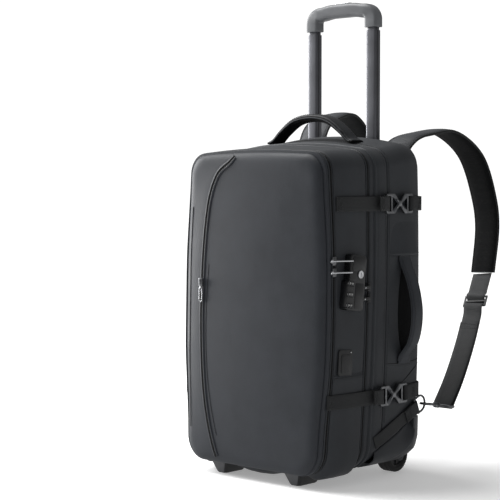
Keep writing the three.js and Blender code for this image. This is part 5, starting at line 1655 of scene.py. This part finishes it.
# The paper reflects less light than it shows, so that the bag's sides stay dark
paper = pale.node_tree
paper_tone = paper.nodes["Principled BSDF"].inputs["Base Color"].links[0].from_socket
paper_seen = shade(paper, "ShaderNodeLightPath").outputs["Is Camera Ray"]
paper.links.new(toned(paper, paper_seen, colour("a0a0a0"), paper_tone),
                paper.nodes["Principled BSDF"].inputs["Base Color"])
stage_floor.materials.append(pale)
floor = bpy.data.objects.new("studio_floor", stage_floor)
bpy.context.scene.collection.objects.link(floor)

world = bpy.data.worlds.new("studio")
bpy.context.scene.world = world
world.use_nodes = True
sky = world.node_tree
seen = shade(sky, "ShaderNodeLightPath").outputs["Is Camera Ray"]
sky.nodes["Background"].inputs["Color"].default_value = (1.0, 1.0, 1.0, 1.0)
way = shade(sky, "ShaderNodeSeparateXYZ", {"Vector": shade(sky, "ShaderNodeTexCoord").outputs["Generated"]})
across_sky = ranged(sky, way.outputs["X"], SKY_LEFT, SKY_RIGHT, -1.0, 1.0)
glow = maths(sky, "MULTIPLY", across_sky, ranged(sky, seen, 1.0, 0.0))
strength = maths(sky, "ADD", glow, maths(sky, "MULTIPLY", seen, SKY_SEEN))
sky.links.new(strength, sky.nodes["Background"].inputs["Strength"])
bpy.context.scene.view_settings.view_transform = "Standard"


def area_light(name, place, target, size, power, tall=None):
    lamp = bpy.data.lights.new(name, "AREA")
    lamp.energy = power
    lamp.shape = "RECTANGLE"
    lamp.size = size
    lamp.size_y = tall or size
    thing = bpy.data.objects.new(name, lamp)
    thing.location = place
    thing.rotation_euler = (Vector(target) - Vector(place)).to_track_quat("-Z", "Y").to_euler()
    bpy.context.scene.collection.objects.link(thing)


SOFTBOX_PLACE, SOFTBOX_TARGET = (-2.1, -0.55, 0.8), (-0.05, -0.1, 0.3)
SOFTBOX_WIDE, SOFTBOX_TALL, SOFTBOX_POWER = 1.0, 1.6, 55
SUN_POWER, SUN_ANGLE = 2.9, 40
SUN_FROM = (-0.8, -0.24, 1.25)
area_light("left_softbox", SOFTBOX_PLACE, SOFTBOX_TARGET, SOFTBOX_WIDE, SOFTBOX_POWER, SOFTBOX_TALL)
sun = bpy.data.lights.new("window_light", "SUN")
sun.energy = SUN_POWER
sun.angle = math.radians(SUN_ANGLE)
sunlight = bpy.data.objects.new("window_light", sun)
sunlight.rotation_euler = Vector(SUN_FROM).to_track_quat("Z", "Y").to_euler()
bpy.context.scene.collection.objects.link(sunlight)

# Camera, solved from the perspective of the bag's edges
LENS_LENGTH, SENSOR_WIDTH = 107.06, 36
CAMERA_PLACE = (1.50737, -1.86824, 0.451)
CAMERA_TILT, CAMERA_TURN = 87.42, 42.5
lens = bpy.data.cameras.new("photo_camera")
lens.lens = LENS_LENGTH
lens.sensor_width = SENSOR_WIDTH
camera = bpy.data.objects.new("photo_camera", lens)
camera.location = CAMERA_PLACE
camera.rotation_euler = (math.radians(CAMERA_TILT), 0, math.radians(CAMERA_TURN))
bpy.context.scene.collection.objects.link(camera)
bpy.context.scene.camera = camera
